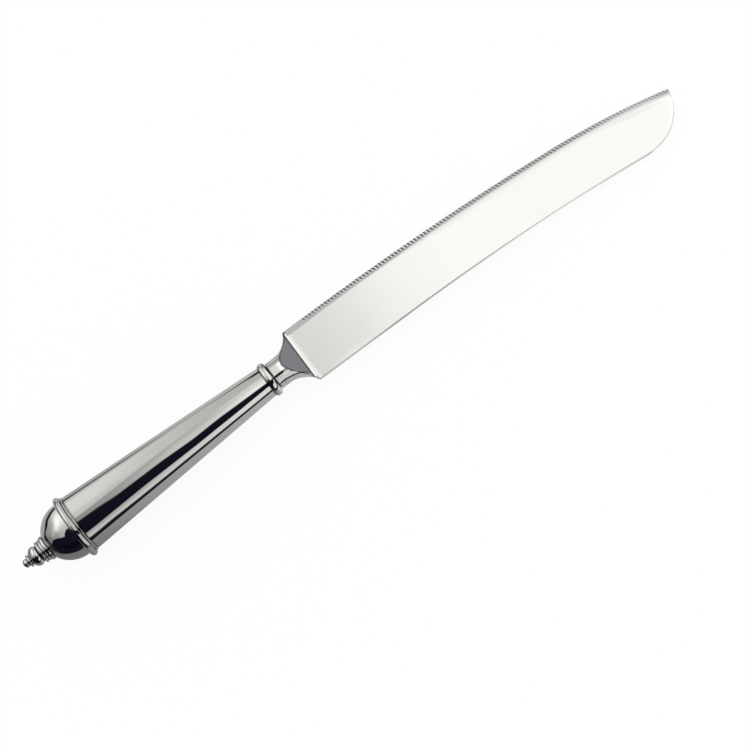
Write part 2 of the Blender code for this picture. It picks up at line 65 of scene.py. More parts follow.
# Fluted edge
BEVEL_WIDTH = 3.0 * MM
BEVEL_DEPTH = 1.4 * MM
BAND_SHARE = 1.35
BAND_LIMIT = 0.75
NOTCH_START = 0.85
NOTCH_LIMIT = 0.3
BEVEL_SOFT_X = (50 * MM, 95 * MM)
NOSE_SOFT_X = (160 * MM, 185 * MM)
BEVEL_LEAST_SOFTNESS = 0.05
BEVEL_SOFTENING = 0.3
FLUTE_PITCH = 1.57 * MM
FLUTE_START = 10.4 * MM
FLUTE_HALF_WIDTH = 0.74 * MM
FLUTE_DEPTH = 0.37 * MM
FLUTE_SLANT = math.tan(math.radians(11))
FLUTE_NARROWING = 0.4
FLUTE_FADE = (0.5 * MM, 2.7 * MM)
FLUTE_WEAR_AT = (50 * MM, 85 * MM, 140 * MM, 175 * MM)
FLUTE_WEAR = (0, 0.5, 0.55, 0.93)

# Tang
TANG_HALF_THICKNESS = 0.75 * MM
TANG_HALF_WIDTH = 3.5 * MM
TANG_END_HALF_WIDTH = 2.25 * MM
TANG_PARALLEL = 24 * MM
TANG_LENGTH = 60 * MM
REBATE_X = 13.9 * MM
SWELL = 0.1 * MM
SWELL_LENGTH = 2.1 * MM
SOLDER_FADE = (14.1 * MM, 14.5 * MM)

# Bolster
NECK_RADIUS = 6.04 * MM
NECK_LENGTH = 3.2 * MM
SHOULDER_X = 13.05 * MM
SHOULDER_HALF_WIDTH = 12.4 * MM
SHOULDER_HEIGHT = 2.2 * MM
FACET_SLOPE = math.tan(math.radians(27.4))
FACET_SHARE = 0.86
STEEPEST_EDGE = math.radians(86)
EDGE_FLARE_POWER = 3.2
SPINE_FLARE_POWER = 2.4
SPINE_FLARE_END_X = 14.2 * MM
LIP_LENGTH = 1.05 * MM
LIP_HEIGHT = 1.03 * MM
LIP_GENTLE_SHARE = 0.2
LIP_STEEP_POWER = 8
SPIGOT_RADIUS = 5.2 * MM
SPIGOT_LENGTH = 14.3 * MM

# Front ring
RING_FRONT_X = -0.3 * MM
RING_BEAD_FRONT_X = -0.6 * MM
RING_BEAD_REAR_X = -3.5 * MM
RING_REAR_X = -3.9 * MM
RING_RADIUS = 7.56 * MM
RING_EDGE = 0.8 * MM
RING_STEP_RADIUS = 5.9 * MM
RING_NECK_RADIUS = 6.25 * MM
SPIGOT_BORE = 5.5 * MM

# Handle body
BODY_FRONT_X = -4.2 * MM
BODY_REAR_X = -97.4 * MM
BODY_FRONT_RADIUS = 6.7 * MM
BODY_REAR_RADIUS = 12.4 * MM
BODY_WALL = 1.5 * MM
TENON_RADIUS = 11.9 * MM

# Butt collar
COLLAR_FRONT_X = -97.7 * MM
COLLAR_FILLET_WIDTH = 0.9 * MM
COLLAR_FILLET_RADIUS = 12.85 * MM
COLLAR_BEAD_FRONT_X = COLLAR_FRONT_X - COLLAR_FILLET_WIDTH
COLLAR_CREST_X = -100.1 * MM
COLLAR_CROWN_REAR_X = -101.35 * MM
COLLAR_REAR_X = -102.2 * MM
COLLAR_MIDDLE_X = (COLLAR_FRONT_X + COLLAR_REAR_X) / 2
COLLAR_STEP_RADIUS = 12.7 * MM
COLLAR_RADIUS = 14.1 * MM

# Butt dome
DOME_CENTRE_X = -101.9 * MM
DOME_RADIUS = 12.05 * MM
DOME_DEPTH = 12.7 * MM
DOME_WALL = 1.2 * MM

# Finial
PEG_RADIUS = 1.5 * MM
PEG_LENGTH = 7.5 * MM
PEG_BORE = 1.8 * MM
PEG_ROUNDING = 0.3 * MM
BASE_RING_RADIUS = 5.45 * MM
BASE_RING_REAR_X = -114.9 * MM
TWIN_RING_RADIUS = 4.9 * MM
TWIN_RING_WIDTH = 1.3 * MM
RING_GROOVE = 0.7 * MM
BALL_FRONT_X = -117.8 * MM
BALL_RADIUS = 4.3 * MM
BALL_HALF_LENGTH = 3.1 * MM
BALL_FOOT_RADIUS = 3.6 * MM
TIP_RING_RADIUS = 2.8 * MM
TIP_RING_WIDTH = 1.2 * MM
TIP_BEAD_RADIUS = 1.9 * MM
TIP_BEAD_HALF_LENGTH = 1.4 * MM
TIP_BEAD_FOOT_ANGLE = 45

# How the knife lies: on its collar and its nose
AXIS_PLACE = np.array([-34.848, 3.405, 9.622]) * MM
AXIS_TILT = math.atan2(COLLAR_RADIUS - THICKNESS / 2, POINT_X - COLLAR_CREST_X)

# Fineness of the meshes
AROUND = 288
BEAD_POINTS = 61
FEW_POINTS = 25
DOME_POINTS = 97
BALL_POINTS = 65
TIP_BEAD_POINTS = 33
TIP_RING_POINTS = 21
CURVE_POINTS = 9
CORNER_POINTS = 5
EDGE_STATIONS = np.linspace(HEEL_X, POINT_X, 2001)
NOSE_STATIONS = 801
FLUTE_SAMPLES = 14
SEAM_REACH = 0.35 * MM
SEAM_STEPS = SEAM_REACH * np.array([0.5, 1, 1.5, 2, 3])
SKIN_GAP = 0.05 * MM
HOLD = 0.01 * MM
CORNER_RADIUS = 0.15 * MM
CORNER_HOLD = 0.04 * MM
CORNER_REACH_SHARE = 0.4
CORNER_HOLD_SHARE = 0.2
MOUTH_HOLD_ANGLE = 0.05
SEAT_CORNER = 0.02 * MM
LEAST_THICKNESS = 0.05 * MM
LEAST_WIDTH = 1e-9
WELD = 0.0000002


# Meshes

def shown_as(name, mesh, finish):
    """An object in the scene that shows the mesh in one finish."""
    mesh.materials.append(finish)
    made = bpy.data.objects.new(name, mesh)
    bpy.context.scene.collection.objects.link(made)
    return made


def lay_down(points):
    """Design points turned about Y by the tilt and moved over the origin, as the solids are."""
    c, s = math.cos(AXIS_TILT), math.sin(AXIS_TILT)
    x, y, z = points[..., 0], points[..., 1], points[..., 2]
    return np.stack([x * c + z * s, y, z * c - x * s], axis=-1) + AXIS_PLACE


def grid_faces(rows, columns, wrap_rows):
    """Quads of a grid that is closed across its columns, and along its rows if asked."""
    i = np.arange(rows if wrap_rows else rows - 1)[:, None]
    j = np.arange(columns)[None, :]
    k, m = (i + 1) % rows, (j + 1) % columns
    corners = [i * columns + j, k * columns + j, k * columns + m, i * columns + m]
    return np.stack([np.broadcast_to(c, (len(i), columns)) for c in corners], -1).reshape(-1, 4)


def skin(name, points, finish, marks, wrap_rows=False):
    """A closed mesh object over a grid of design points, with named marks kept per point."""
    rows, columns = points.shape[:2]
    faces = grid_faces(rows, columns, wrap_rows)
    flat = points.reshape(-1, 3)
    a, b, c, d = (flat[faces[:, n]] for n in range(4))
    if np.einsum("ij,ij->i", a, np.cross(b, c) + np.cross(c, d)).sum() < 0:
        faces = faces[:, ::-1]
    mesh = bpy.data.meshes.new(name)
    mesh.from_pydata(lay_down(flat), [], faces.tolist())
    for mark, values in marks.items():
        layer = mesh.attributes.new(mark, "FLOAT", "POINT")
        spread = np.broadcast_to(values, (rows, columns)).astype(np.float32)
        layer.data.foreach_set("value", spread.ravel())
    solid = bmesh.new()
    solid.from_mesh(mesh)
    bmesh.ops.remove_doubles(solid, verts=solid.verts, dist=WELD)
    solid.to_mesh(mesh)
    solid.free()
    mesh.shade_smooth()
    made = shown_as(name, mesh, finish)
    return made


# Turned pieces

def arc(centre_x, centre_r, half_x, half_r, start, end, count):
    """Points of an elliptical arc in the (x, radius) plane, angles from +X towards +radius."""
    a = np.radians(np.linspace(start, end, count))
    return np.stack([centre_x + half_x * np.cos(a), centre_r + half_r * np.sin(a)], axis=-1)


def bead(front_x, rear_x, foot, crest, count):
    """A half-round moulding, from its front foot over the crest to its rear foot."""
    middle = (front_x + rear_x) / 2
    return arc(middle, foot, (front_x - rear_x) / 2, crest - foot, 0, 180, count)


def softened(corners, radius):
    """A polyline with each inner corner rounded by a parabola, and a holding point each side."""
    corners = np.asarray(corners, float)
    found = [corners[:1]]
    for before, corner, after in zip(corners, corners[1:], corners[2:]):
        sides = before - corner, after - corner
        lengths = [np.linalg.norm(side) for side in sides]
        reach = min(radius, CORNER_REACH_SHARE * min(lengths))
        start, end = (corner + side / length * reach for side, length in zip(sides, lengths))
        hold = min(CORNER_HOLD, CORNER_HOLD_SHARE * reach)
        t = np.linspace(0, 1, CORNER_POINTS)[:, None]
        found.append(start[None] + (start - corner) / reach * hold)
        found.append(start * (1 - t) ** 2 + 2 * corner * t * (1 - t) + end * t**2)
        found.append(end[None] + (end - corner) / reach * hold)
    found.append(corners[-1:])
    return np.vstack(found)


def held(stations):
    """The stations with one more close by each end, which keeps the ends sharp."""
    close = HOLD * np.sign(stations[1] - stations[0])
    first, last = stations[:1], stations[-1:]
    return np.concatenate([first, first + close, stations[1:-1], last - close, last])


def fading(distance, reach):
    """exp(-(distance / reach) squared)."""
    return np.exp(-((distance / reach) ** 2))


def turned(name, profile, finish, seats, bored=True):
    """The profile (x, radius) swept round the X axis: y = radius cos a, z = radius sin a.

    The seams' tarnish mark fades from one at the nearest (x, radius) seat to zero a little way off.
    """
    profile = np.asarray(profile, float)
    a = np.linspace(0, 2 * math.pi, AROUND, endpoint=False)[None, :]
    x, radius = profile[:, :1], profile[:, 1:]
    points = np.stack([x + 0 * a, radius * np.cos(a), radius * np.sin(a)], axis=-1)
    gaps = np.linalg.norm(profile[:, None, :] - np.asarray(seats)[None], axis=-1)
    marks = {"tarnish_and_painted_lines": fading(gaps.min(axis=1), SEAM_REACH)[:, None]}
    return skin(name, points, finish, marks, wrap_rows=bored)


def make_front_ring(finish):
    """A half-round ring with a small step each side, bored for the spigot."""
    edge = RING_RADIUS - RING_EDGE
    profile = np.vstack([
        [(RING_FRONT_X, SPIGOT_BORE), (RING_FRONT_X, RING_NECK_RADIUS)],
        [(RING_BEAD_FRONT_X, RING_NECK_RADIUS)],
        bead(RING_BEAD_FRONT_X, RING_BEAD_REAR_X, edge, RING_RADIUS, BEAD_POINTS),
        [(RING_BEAD_REAR_X, RING_STEP_RADIUS)],
        [(RING_REAR_X, RING_STEP_RADIUS), (RING_REAR_X, SPIGOT_BORE)],
    ])
    seats = [(x, RING_NECK_RADIUS) for x in (RING_FRONT_X, RING_BEAD_FRONT_X)]
    seats.append((RING_BEAD_REAR_X, BODY_FRONT_RADIUS))
    return turned("front_ring_turned", profile, finish, seats)


def body_inner_radius(x):
    taper = (BODY_REAR_RADIUS - BODY_FRONT_RADIUS) / (BODY_FRONT_X - BODY_REAR_X)
    return BODY_FRONT_RADIUS + (BODY_FRONT_X - x) * taper - BODY_WALL


def make_handle_body(finish):
    """A straight taper with softened ends, its tenon behind and its bore inside."""
    tenon_x = COLLAR_MIDDLE_X + GAP / 2
    bore_end_x = -SPIGOT_LENGTH - GAP
    rear_inner = body_inner_radius(BODY_REAR_X)
    front_x = RING_BEAD_REAR_X - SKIN_GAP
    seat_x = RING_REAR_X - GAP
    seat_radius = RING_STEP_RADIUS + GAP / 3
    stations = np.concatenate([front_x - SEAM_STEPS, BODY_REAR_X + SEAM_STEPS[::-1]])
    corners = [
        (front_x, seat_radius),
        (front_x, body_inner_radius(front_x) + BODY_WALL),
        *zip(stations, body_inner_radius(stations) + BODY_WALL),
        (BODY_REAR_X, BODY_REAR_RADIUS),
        (BODY_REAR_X, TENON_RADIUS),
        (tenon_x, TENON_RADIUS),
        (tenon_x, rear_inner),
        (BODY_REAR_X, rear_inner),
        (bore_end_x, body_inner_radius(bore_end_x)),
        (bore_end_x, SPIGOT_BORE),
        (seat_x, SPIGOT_BORE),
        (seat_x, seat_radius),
        (front_x, seat_radius),
    ]
    profile = softened(corners, CORNER_RADIUS)[:-1]
    seats = [(front_x, BODY_FRONT_RADIUS), (BODY_REAR_X, BODY_REAR_RADIUS)]
    return turned("handle_body_turned", profile, finish, seats)


def make_butt_collar(finish):
    """The large bead with a small half-round ring in front and a flange that meets the dome."""
    bore = TENON_RADIUS + SKIN_GAP
    foot, crest = BODY_REAR_RADIUS, COLLAR_FILLET_RADIUS
    fillet = bead(COLLAR_FRONT_X, COLLAR_BEAD_FRONT_X, foot, crest, FEW_POINTS)
    foot, crest = COLLAR_STEP_RADIUS, COLLAR_RADIUS
    crown = bead(COLLAR_BEAD_FRONT_X, COLLAR_CROWN_REAR_X, foot, crest, BEAD_POINTS)
    stations = held(np.linspace(COLLAR_CROWN_REAR_X, COLLAR_REAR_X, CURVE_POINTS))
    flange = np.stack([stations, dome_radius_at(stations)], axis=-1)
    profile = np.vstack([[(COLLAR_FRONT_X, bore)], fillet, crown, flange, [(COLLAR_REAR_X, bore)]])
    seats = [(COLLAR_FRONT_X, BODY_REAR_RADIUS), (COLLAR_BEAD_FRONT_X, COLLAR_STEP_RADIUS)]
    seats += [(COLLAR_CROWN_REAR_X, COLLAR_STEP_RADIUS)]
    return turned("butt_collar_turned", profile, finish, seats)


def make_butt_dome(finish):
    """A half ellipse, a little deeper than its radius, hollow and open for the finial's peg."""
    mouth_x = COLLAR_REAR_X - HOLD
    mouth = 180 - math.degrees(math.acos((DOME_CENTRE_X - mouth_x) / DOME_DEPTH))
    hole = 180 - math.degrees(math.asin(PEG_BORE / DOME_RADIUS))
    outer = (DOME_CENTRE_X, 0, DOME_DEPTH, DOME_RADIUS)
    inner_radius = DOME_RADIUS - DOME_WALL
    inner = (DOME_CENTRE_X, 0, DOME_DEPTH - DOME_WALL, inner_radius)
    inner_hole = 180 - math.degrees(math.asin(PEG_BORE / inner_radius))
    tenon_x = COLLAR_MIDDLE_X - GAP / 2
    tenon_radius = TENON_RADIUS - GAP
    profile = np.vstack([
        [(tenon_x, tenon_radius), (mouth_x, tenon_radius)],
        arc(*outer, mouth, mouth + MOUTH_HOLD_ANGLE, 2),
        arc(*outer, mouth, hole, DOME_POINTS)[1:],
        arc(*inner, inner_hole, 90, FEW_POINTS),
        [(tenon_x, inner_radius)],
    ])
    seats = [(dome_surface_x(BASE_RING_RADIUS), BASE_RING_RADIUS)]
    return turned("butt_dome_spun", profile, finish, seats)


def dome_radius_at(x):
    return DOME_RADIUS * np.sqrt(1 - (np.minimum(x - DOME_CENTRE_X, 0) / DOME_DEPTH) ** 2)


def dome_surface_x(radius):
    return DOME_CENTRE_X - DOME_DEPTH * np.sqrt(1 - (radius / DOME_RADIUS) ** 2)


def make_finial_collar(finish):
    """Three stacked half-round rings on the crown of the dome."""
    seat_radius = BASE_RING_RADIUS - RING_GROOVE / 2
    radii = np.linspace(PEG_BORE, seat_radius, CURVE_POINTS)
    seat = np.stack([dome_surface_x(radii) - GAP / 6, radii], axis=-1)
    first_x = BASE_RING_REAR_X - TWIN_RING_WIDTH
    rear_x = first_x - TWIN_RING_WIDTH
    twin_foot = TWIN_RING_RADIUS - RING_GROOVE
    profile = np.vstack([
        seat[:-1],
        bead(seat[-1][0], BASE_RING_REAR_X, seat_radius, BASE_RING_RADIUS, FEW_POINTS),
        bead(BASE_RING_REAR_X, first_x, twin_foot, TWIN_RING_RADIUS, FEW_POINTS),
        bead(first_x, rear_x, twin_foot, TWIN_RING_RADIUS, FEW_POINTS)[1:],
        [(rear_x, PEG_BORE)],
    ])
    seats = [(x, twin_foot) for x in (BASE_RING_REAR_X, first_x, rear_x)] + [tuple(seat[-1])]
    return turned("finial_collar_turned", profile, finish, seats)


def make_finial(finish):
    """Ball, thin ring and end bead on one peg."""
    peg_x = BALL_FRONT_X + PEG_LENGTH
    peg = [(peg_x, 0), (peg_x, PEG_RADIUS), (BALL_FRONT_X, PEG_RADIUS)]
    foot_angle = math.degrees(math.asin(BALL_FOOT_RADIUS / BALL_RADIUS))
    ring_angle = foot_angle / 2
    centre_x = BALL_FRONT_X - BALL_HALF_LENGTH * math.cos(math.radians(foot_angle))
    ball = (centre_x, 0, BALL_HALF_LENGTH, BALL_RADIUS)
    ring_front_x = centre_x - BALL_HALF_LENGTH * math.cos(math.radians(ring_angle))
    ring_foot = BALL_RADIUS * math.sin(math.radians(ring_angle))
    ring_rear_x = ring_front_x - TIP_RING_WIDTH
    tip_centre_x = ring_rear_x - TIP_BEAD_HALF_LENGTH * math.cos(math.radians(TIP_BEAD_FOOT_ANGLE))
    tip = (tip_centre_x, 0, TIP_BEAD_HALF_LENGTH, TIP_BEAD_RADIUS)
    tip = arc(*tip, TIP_BEAD_FOOT_ANGLE, 180, TIP_BEAD_POINTS)
    tip[-1, 1] = 0
    profile = np.vstack([
        peg[:1],
        softened(peg, PEG_ROUNDING)[1:],
        arc(*ball, foot_angle, 180 - ring_angle, BALL_POINTS),
        bead(ring_front_x, ring_rear_x, ring_foot, TIP_RING_RADIUS, TIP_RING_POINTS)[1:],
        tip,
    ])
    seats = [(ring_front_x, ring_foot), (ring_rear_x, tip[0, 1]), (BALL_FRONT_X, BALL_FOOT_RADIUS)]
    return turned("finial_turned", profile, finish, seats, bored=False)


# Bolster

def facet_height(x):
    """A plane that falls towards the shoulder, then the hollow lip down to the blade."""
    plane = SHOULDER_HEIGHT + np.maximum(SHOULDER_X - x, 0) * FACET_SLOPE
    left = 1 - np.clip((x - SHOULDER_X) / LIP_LENGTH, 0, 1)
    curve = LIP_GENTLE_SHARE * left**2 + (1 - LIP_GENTLE_SHARE) * left**LIP_STEEP_POWER
    hollow = LIP_HEIGHT + (SHOULDER_HEIGHT - LIP_HEIGHT) * curve
    return np.where(x <= SHOULDER_X, plane, hollow)


def bolster_half_width(x, end_x, power):
    share = np.clip((x - NECK_LENGTH) / (end_x - NECK_LENGTH), 0, 1)
    return NECK_RADIUS + (SHOULDER_HALF_WIDTH - NECK_RADIUS) * share**power


def bolster_stations():
    """Places along the bolster, closer together at the shoulder and over the lip."""
    hold = 0.1 * MM
    lip = SHOULDER_X + LIP_LENGTH * (1 - np.cos(np.linspace(0.12, math.pi / 2, 24)))
    flare = np.linspace(SEAT_CORNER, SHOULDER_X - hold, 150)
    x = np.concatenate([flare, [SHOULDER_X - hold / 3, SHOULDER_X], lip])
    return np.insert(x, -1, x[-1] - hold / 20)[:, None]


def section_angles(edge_angle):
    """Angles round a section: up to the facet's edge and across the facet, four times."""
    to_edge = np.concatenate([np.linspace(0, 0.9, 22), [0.94, 0.98, 1.0]])[None, :]
    across = np.concatenate([[0.02, 0.06], np.linspace(0.12, 1, 14)])[None, :]
    over = edge_angle + (math.pi / 2 - edge_angle) * across
    quarter = np.concatenate([to_edge * edge_angle, over], axis=1)
    return np.concatenate([
        quarter,
        math.pi - quarter[:, -2::-1],
        math.pi + quarter[:, 1:],
        2 * math.pi - quarter[:, -2:0:-1],
    ], axis=1)


def bolster_painted_lines_and_seat(x, y, angle, below_facet, edge_width, spine_width):
    """Painted dark reflections as fine lines at the facet's edge, the shoulder and the wings' tips,
    and a dark joint line at the ring.
    """
    # Painted reflection: a dark line along the facet's edge and one at the shoulder, standing for
    # rounded edges that mirror a dark band
    from_edge = np.abs(below_facet) / np.sqrt(0.3 + np.cos(angle) ** 2)
    painted_edge_reflection = fading(from_edge, 0.4 * MM) * (x < SHOULDER_X)
    painted_shoulder_reflection = fading(x - SHOULDER_X + 0.1 * MM, 0.2 * MM) * (np.sin(angle) ** 2 > 0.02)
    # Painted reflection: dark ticks at the wings' tips near the shoulder
    near_shoulder = smooth(x, SHOULDER_X - 1.1 * MM, SHOULDER_X - 0.2 * MM)
    edge_tip = smooth(y, edge_width - 1.6 * MM, edge_width - 1.0 * MM)
    spine_tip = smooth(-y, spine_width - 0.4 * MM, spine_width - 0.1 * MM)
    tips = np.maximum(edge_tip, spine_tip) * near_shoulder
    seat_line = fading(x, 0.3 * MM) + 0 * y
    return np.maximum.reduce([painted_edge_reflection, painted_shoulder_reflection, tips, seat_line])


def make_bolster(finish):
    """Ellipses that flare in plan, cut above and below by the facet's height.

    Along the section the angle runs to the facet's edge and then across it, so that the
    edge is a line of the grid: z is the smaller of the ellipse's height and the facet's.
    """
    x = bolster_stations()
    spine_width = bolster_half_width(x, SPINE_FLARE_END_X, SPINE_FLARE_POWER)
    edge_width = bolster_half_width(x, SHOULDER_X, EDGE_FLARE_POWER)
    height = facet_height(x)
    uncut_height = facet_height(np.minimum(x, SHOULDER_X)) / math.sqrt(1 - FACET_SHARE**2)
    round_height = np.minimum(spine_width, uncut_height)
    edge_angle = np.arcsin(np.clip(height / round_height, 0, math.sin(STEEPEST_EDGE)))
    angle = section_angles(edge_angle)
    y = np.where(np.cos(angle) > 0, edge_width, spine_width) * np.cos(angle)
    z = np.clip(round_height * np.sin(angle), -height, height)
    outside = np.stack([x + 0 * y, y, z], axis=-1)
    spigot = [(-SPIGOT_LENGTH, 0), (-SPIGOT_LENGTH, SPIGOT_RADIUS), (0, SPIGOT_RADIUS)]
    spigot.append((0, NECK_RADIUS - SEAT_CORNER))
    turn = angle[0]
    rings = [np.stack([at + 0 * turn, r * np.cos(turn), r * np.sin(turn)], -1) for at, r in spigot]
    closing = outside[-1].copy()
    closing[:, 2] = 0
    points = np.concatenate([np.stack(rings), outside, closing[None]])
    along_x, up = points[..., 0], np.abs(points[..., 2])
    # Masks for painted reflection tints: the flat facet and the hollow lip
    facet = (up >= 0.999 * facet_height(along_x)) & (along_x > 0) & (along_x < SHOULDER_X)
    below_facet = height - round_height * np.abs(np.sin(angle))
    # Painted reflections: dark lines at the facet's edge, shoulder and wing tips, carried in the
    # tarnish mark together with the ring joint
    lines = bolster_painted_lines_and_seat(x, y, angle, below_facet, edge_width, spine_width)
    lines = np.concatenate([np.zeros((len(rings), y.shape[1])), lines, lines[-1:]])
    lip = smooth(along_x, SHOULDER_X + 0.15 * MM, SHOULDER_X + 0.35 * MM)
    marks = {"tarnish_and_painted_lines": lines, "facet": facet.astype(float), "lip": lip}
    return skin("bolster_cast", points, finish, marks)


# Blade

def edge_y(x):
    """The fluted edge: a long bow, with a tighter sweep added towards the point."""
    run = x - HEEL_X
    swept = np.maximum(run - EDGE_SWEEP_START, 0)
    return HEEL_TO_EDGE - run**2 / (2 * EDGE_BOW) - swept**2 / (2 * EDGE_SWEEP)


def edge_slope(x):
    run = x - HEEL_X
    return -run / EDGE_BOW - np.maximum(run - EDGE_SWEEP_START, 0) / EDGE_SWEEP


def spine_y(x):
    """The spine: nearly straight behind, then falling away in one long bow."""
    run = x - HEEL_X
    bow = np.maximum(run - SPINE_STRAIGHT, 0) ** 2 / (2 * SPINE_BOW)
    return -HEEL_TO_SPINE - SPINE_FALL * run - bow


def nose_curve(t):
    """One cubic curve from the point, t zero, round to the spine, t one."""
    start_x = POINT_X - NOSE_LENGTH
    spine_end = np.array([start_x, spine_y(start_x)])
    point = np.array([POINT_X, edge_y(POINT_X)])
    along = np.array([1, -SPINE_FALL - (start_x - HEEL_X - SPINE_STRAIGHT) / SPINE_BOW])
    up = np.array([NOSE_LEAN_SHARE, 1])
    near_spine = spine_end + along / np.linalg.norm(along) * NOSE_SPINE_SHARE * NOSE_LENGTH
    near_point = point - up / np.linalg.norm(up) * NOSE_TIP_SHARE * (point[1] - spine_end[1])
    t = np.asarray(t)[:, None]
    near = point * (1 - t) ** 3 + 3 * near_point * t * (1 - t) ** 2
    return near + 3 * near_spine * t**2 * (1 - t) + spine_end * t**3


def edge_run(x):
    """Length along the edge from the heel: the root of 1 + slope squared, by trapezoids."""
    steps = np.hypot(1, edge_slope(EDGE_STATIONS))
    areas = (steps[1:] + steps[:-1]) / 2 * np.diff(EDGE_STATIONS)
    return np.interp(x, EDGE_STATIONS, np.concatenate([[0], np.cumsum(areas)]))


def flute_depth(along, inward):
    """Parabolic grooves one pitch apart, leaning as they run inward and getting narrower."""
    phase = along - inward * FLUTE_SLANT - FLUTE_START
    last = edge_run(POINT_X - FLUTE_HALF_WIDTH)
    count = np.round(phase / FLUTE_PITCH)
    offset = phase - count * FLUTE_PITCH
    narrowing = 1 - FLUTE_NARROWING * np.clip(inward / (BEVEL_WIDTH + FLUTE_DEPTH), 0, 1.2)
    depth = FLUTE_DEPTH * (1 - np.interp(along, FLUTE_WEAR_AT, FLUTE_WEAR))
    groove = depth * narrowing * (1 - (offset / (FLUTE_HALF_WIDTH * narrowing)) ** 2)
    inside = (count >= 0) & (along < last)
    fade = 1 - smooth(inward, *FLUTE_FADE)
    return np.where(inside, np.maximum(groove, 0), 0) * fade


def bevel_softness(x):
    """How far, in shares of its width, the bevel's inner border is polished round."""
    blade = BEVEL_SOFTENING * smooth(x, *BEVEL_SOFT_X)
    nose = BEVEL_SOFTENING * smooth(x, *NOSE_SOFT_X)
    return BEVEL_LEAST_SOFTNESS + blade + nose


def ground_height(x, y):
    """Height of the upper face: the flat, or the bevel less its flutes where that is lower."""
    slope = edge_slope(x)
    inward = (edge_y(x) - y) / np.hypot(1, slope)
    foot_x = x + inward * slope / np.hypot(1, slope)
    soft = bevel_softness(x)
    into = 1 - inward / BEVEL_WIDTH
    share = np.where(into > soft, into, np.maximum(into + soft, 0) ** 2 / (4 * soft))
    flute = flute_depth(edge_run(foot_x), inward) * (into > -0.1)
    return THICKNESS / 2 - BEVEL_DEPTH * share - flute


def blade_edge(run, x):
    """The edge's outline, stepped in where a flute cuts through the land, shut at the point."""
    land = THICKNESS - BEVEL_DEPTH
    notch = np.maximum(flute_depth(run, 0) - NOTCH_START * land, 0) * BEVEL_WIDTH / BEVEL_DEPTH
    notch = np.minimum(notch, NOTCH_LIMIT * (POINT_X - x))
    slope = edge_slope(x)
    norm = np.hypot(1, slope)
    return np.stack([x + slope / norm * notch, edge_y(x) - notch / norm], axis=-1)


def blade_back(x):
    """The spine and the nose opposite each x, cut off where the bolster's wing ends."""
    nose = nose_curve(np.linspace(0, 1, NOSE_STATIONS))
    nose_run = np.concatenate([[0], np.cumsum(np.linalg.norm(np.diff(nose, axis=0), axis=1))])
    run = np.clip((POINT_X - x) / NOSE_LENGTH, 0, 1) * nose_run[-1]
    back = np.stack([np.interp(run, nose_run, nose[:, k]) for k in (0, 1)], -1)
    straight = x < POINT_X - NOSE_LENGTH
    back[straight] = np.stack([x[straight], spine_y(x[straight])], -1)
    wing = -bolster_half_width(HEEL_X, SPINE_FLARE_END_X, SPINE_FLARE_POWER)
    corner = np.interp(x, (HEEL_X, SPINE_FLARE_END_X), (wing, spine_y(SPINE_FLARE_END_X)))
    cut = x < SPINE_FLARE_END_X
    back[cut, 1] = np.maximum(back[cut, 1], corner[cut])
    return back


def both_faces(upper, lower):
    """A ruling's values across the upper face and back across the lower one."""
    return np.concatenate([upper, lower[:, ::-1]], axis=1)


def make_blade(finish):
    """Rulings from the edge to the spine and nose, each with an upper and a lower face.

    Across a ruling come the ground band, the flat and the quarter round of the back. The
    upper face swells a little by the bolster's lip, and under the lip it is stepped down.
    """
    length = edge_run(POINT_X)
    run = np.linspace(0, length, int(length / FLUTE_PITCH * FLUTE_SAMPLES))
    x = np.interp(run, edge_run(EDGE_STATIONS), EDGE_STATIONS)
    edge, back = blade_edge(run, x), blade_back(x)
    width = np.linalg.norm(back - edge, axis=1)[:, None]
    band = np.minimum(BEVEL_WIDTH * BAND_SHARE, BAND_LIMIT * width)
    ground = np.array([
        0, 0.03, 0.08, 0.14, 0.21, 0.28, 0.36, 0.44, 0.52, 0.6, 0.68,
        0.735, 0.745, 0.78, 0.84, 0.9, 1.0,
    ])[None]
    flat = np.linspace(0, 1, 9)[None, 1:-1]
    rounding = np.minimum(BACK_ROUNDING, BACK_ROUNDING_LIMIT * width)
    turn = np.radians(np.linspace(0, 90, 6))[None]
    inset = rounding * (1 - np.sin(turn))
    reach = [ground * band, band + flat * (width - band - rounding), width - inset]
    drop = [0 * ground * band, 0 * flat * width, rounding * (1 - np.cos(turn))]
    reach, drop = np.concatenate(reach, axis=1), np.concatenate(drop, axis=1)
    share = (reach / np.maximum(width, LEAST_WIDTH))[..., None]
    flat_xy = edge[:, None] + (back - edge)[:, None] * share
    upper_z = ground_height(flat_xy[..., 0], flat_xy[..., 1])
    upper_z = np.maximum(upper_z, -THICKNESS / 2 + LEAST_THICKNESS)
    from_lip = np.clip((flat_xy[..., 0] - REBATE_X) / SWELL_LENGTH, 0, 1)
    upper_z = upper_z - drop + SWELL * (1 - from_lip) ** 2
    xy, z = both_faces(flat_xy, flat_xy), both_faces(upper_z, drop - THICKNESS / 2)
    held_z = np.clip(z, -TANG_HALF_THICKNESS, TANG_HALF_THICKNESS)
    z = np.where(xy[..., 0] < REBATE_X, held_z, z)
    section = np.concatenate([xy, z[..., None]], axis=-1)
    tang = tang_rows(section[0])
    soft = bevel_softness(x)[:, None]
    cut = 1 - smooth(reach / BEVEL_WIDTH, 1 - soft, 1 + soft)
    solder = smooth(reach, width - 0.6 * MM, width - 0.3 * MM)
    solder = solder * (1 - smooth(x, *SOLDER_FADE))[:, None]
    plain = np.zeros((len(tang), section.shape[1]))
    marks = {"ground": both_faces(cut, 0 * cut), "tarnish_and_painted_lines": both_faces(solder, solder)}
    marks = {name: np.concatenate([plain, mark]) for name, mark in marks.items()}
    return skin("blade_ground", np.concatenate([tang, section]), finish, marks)


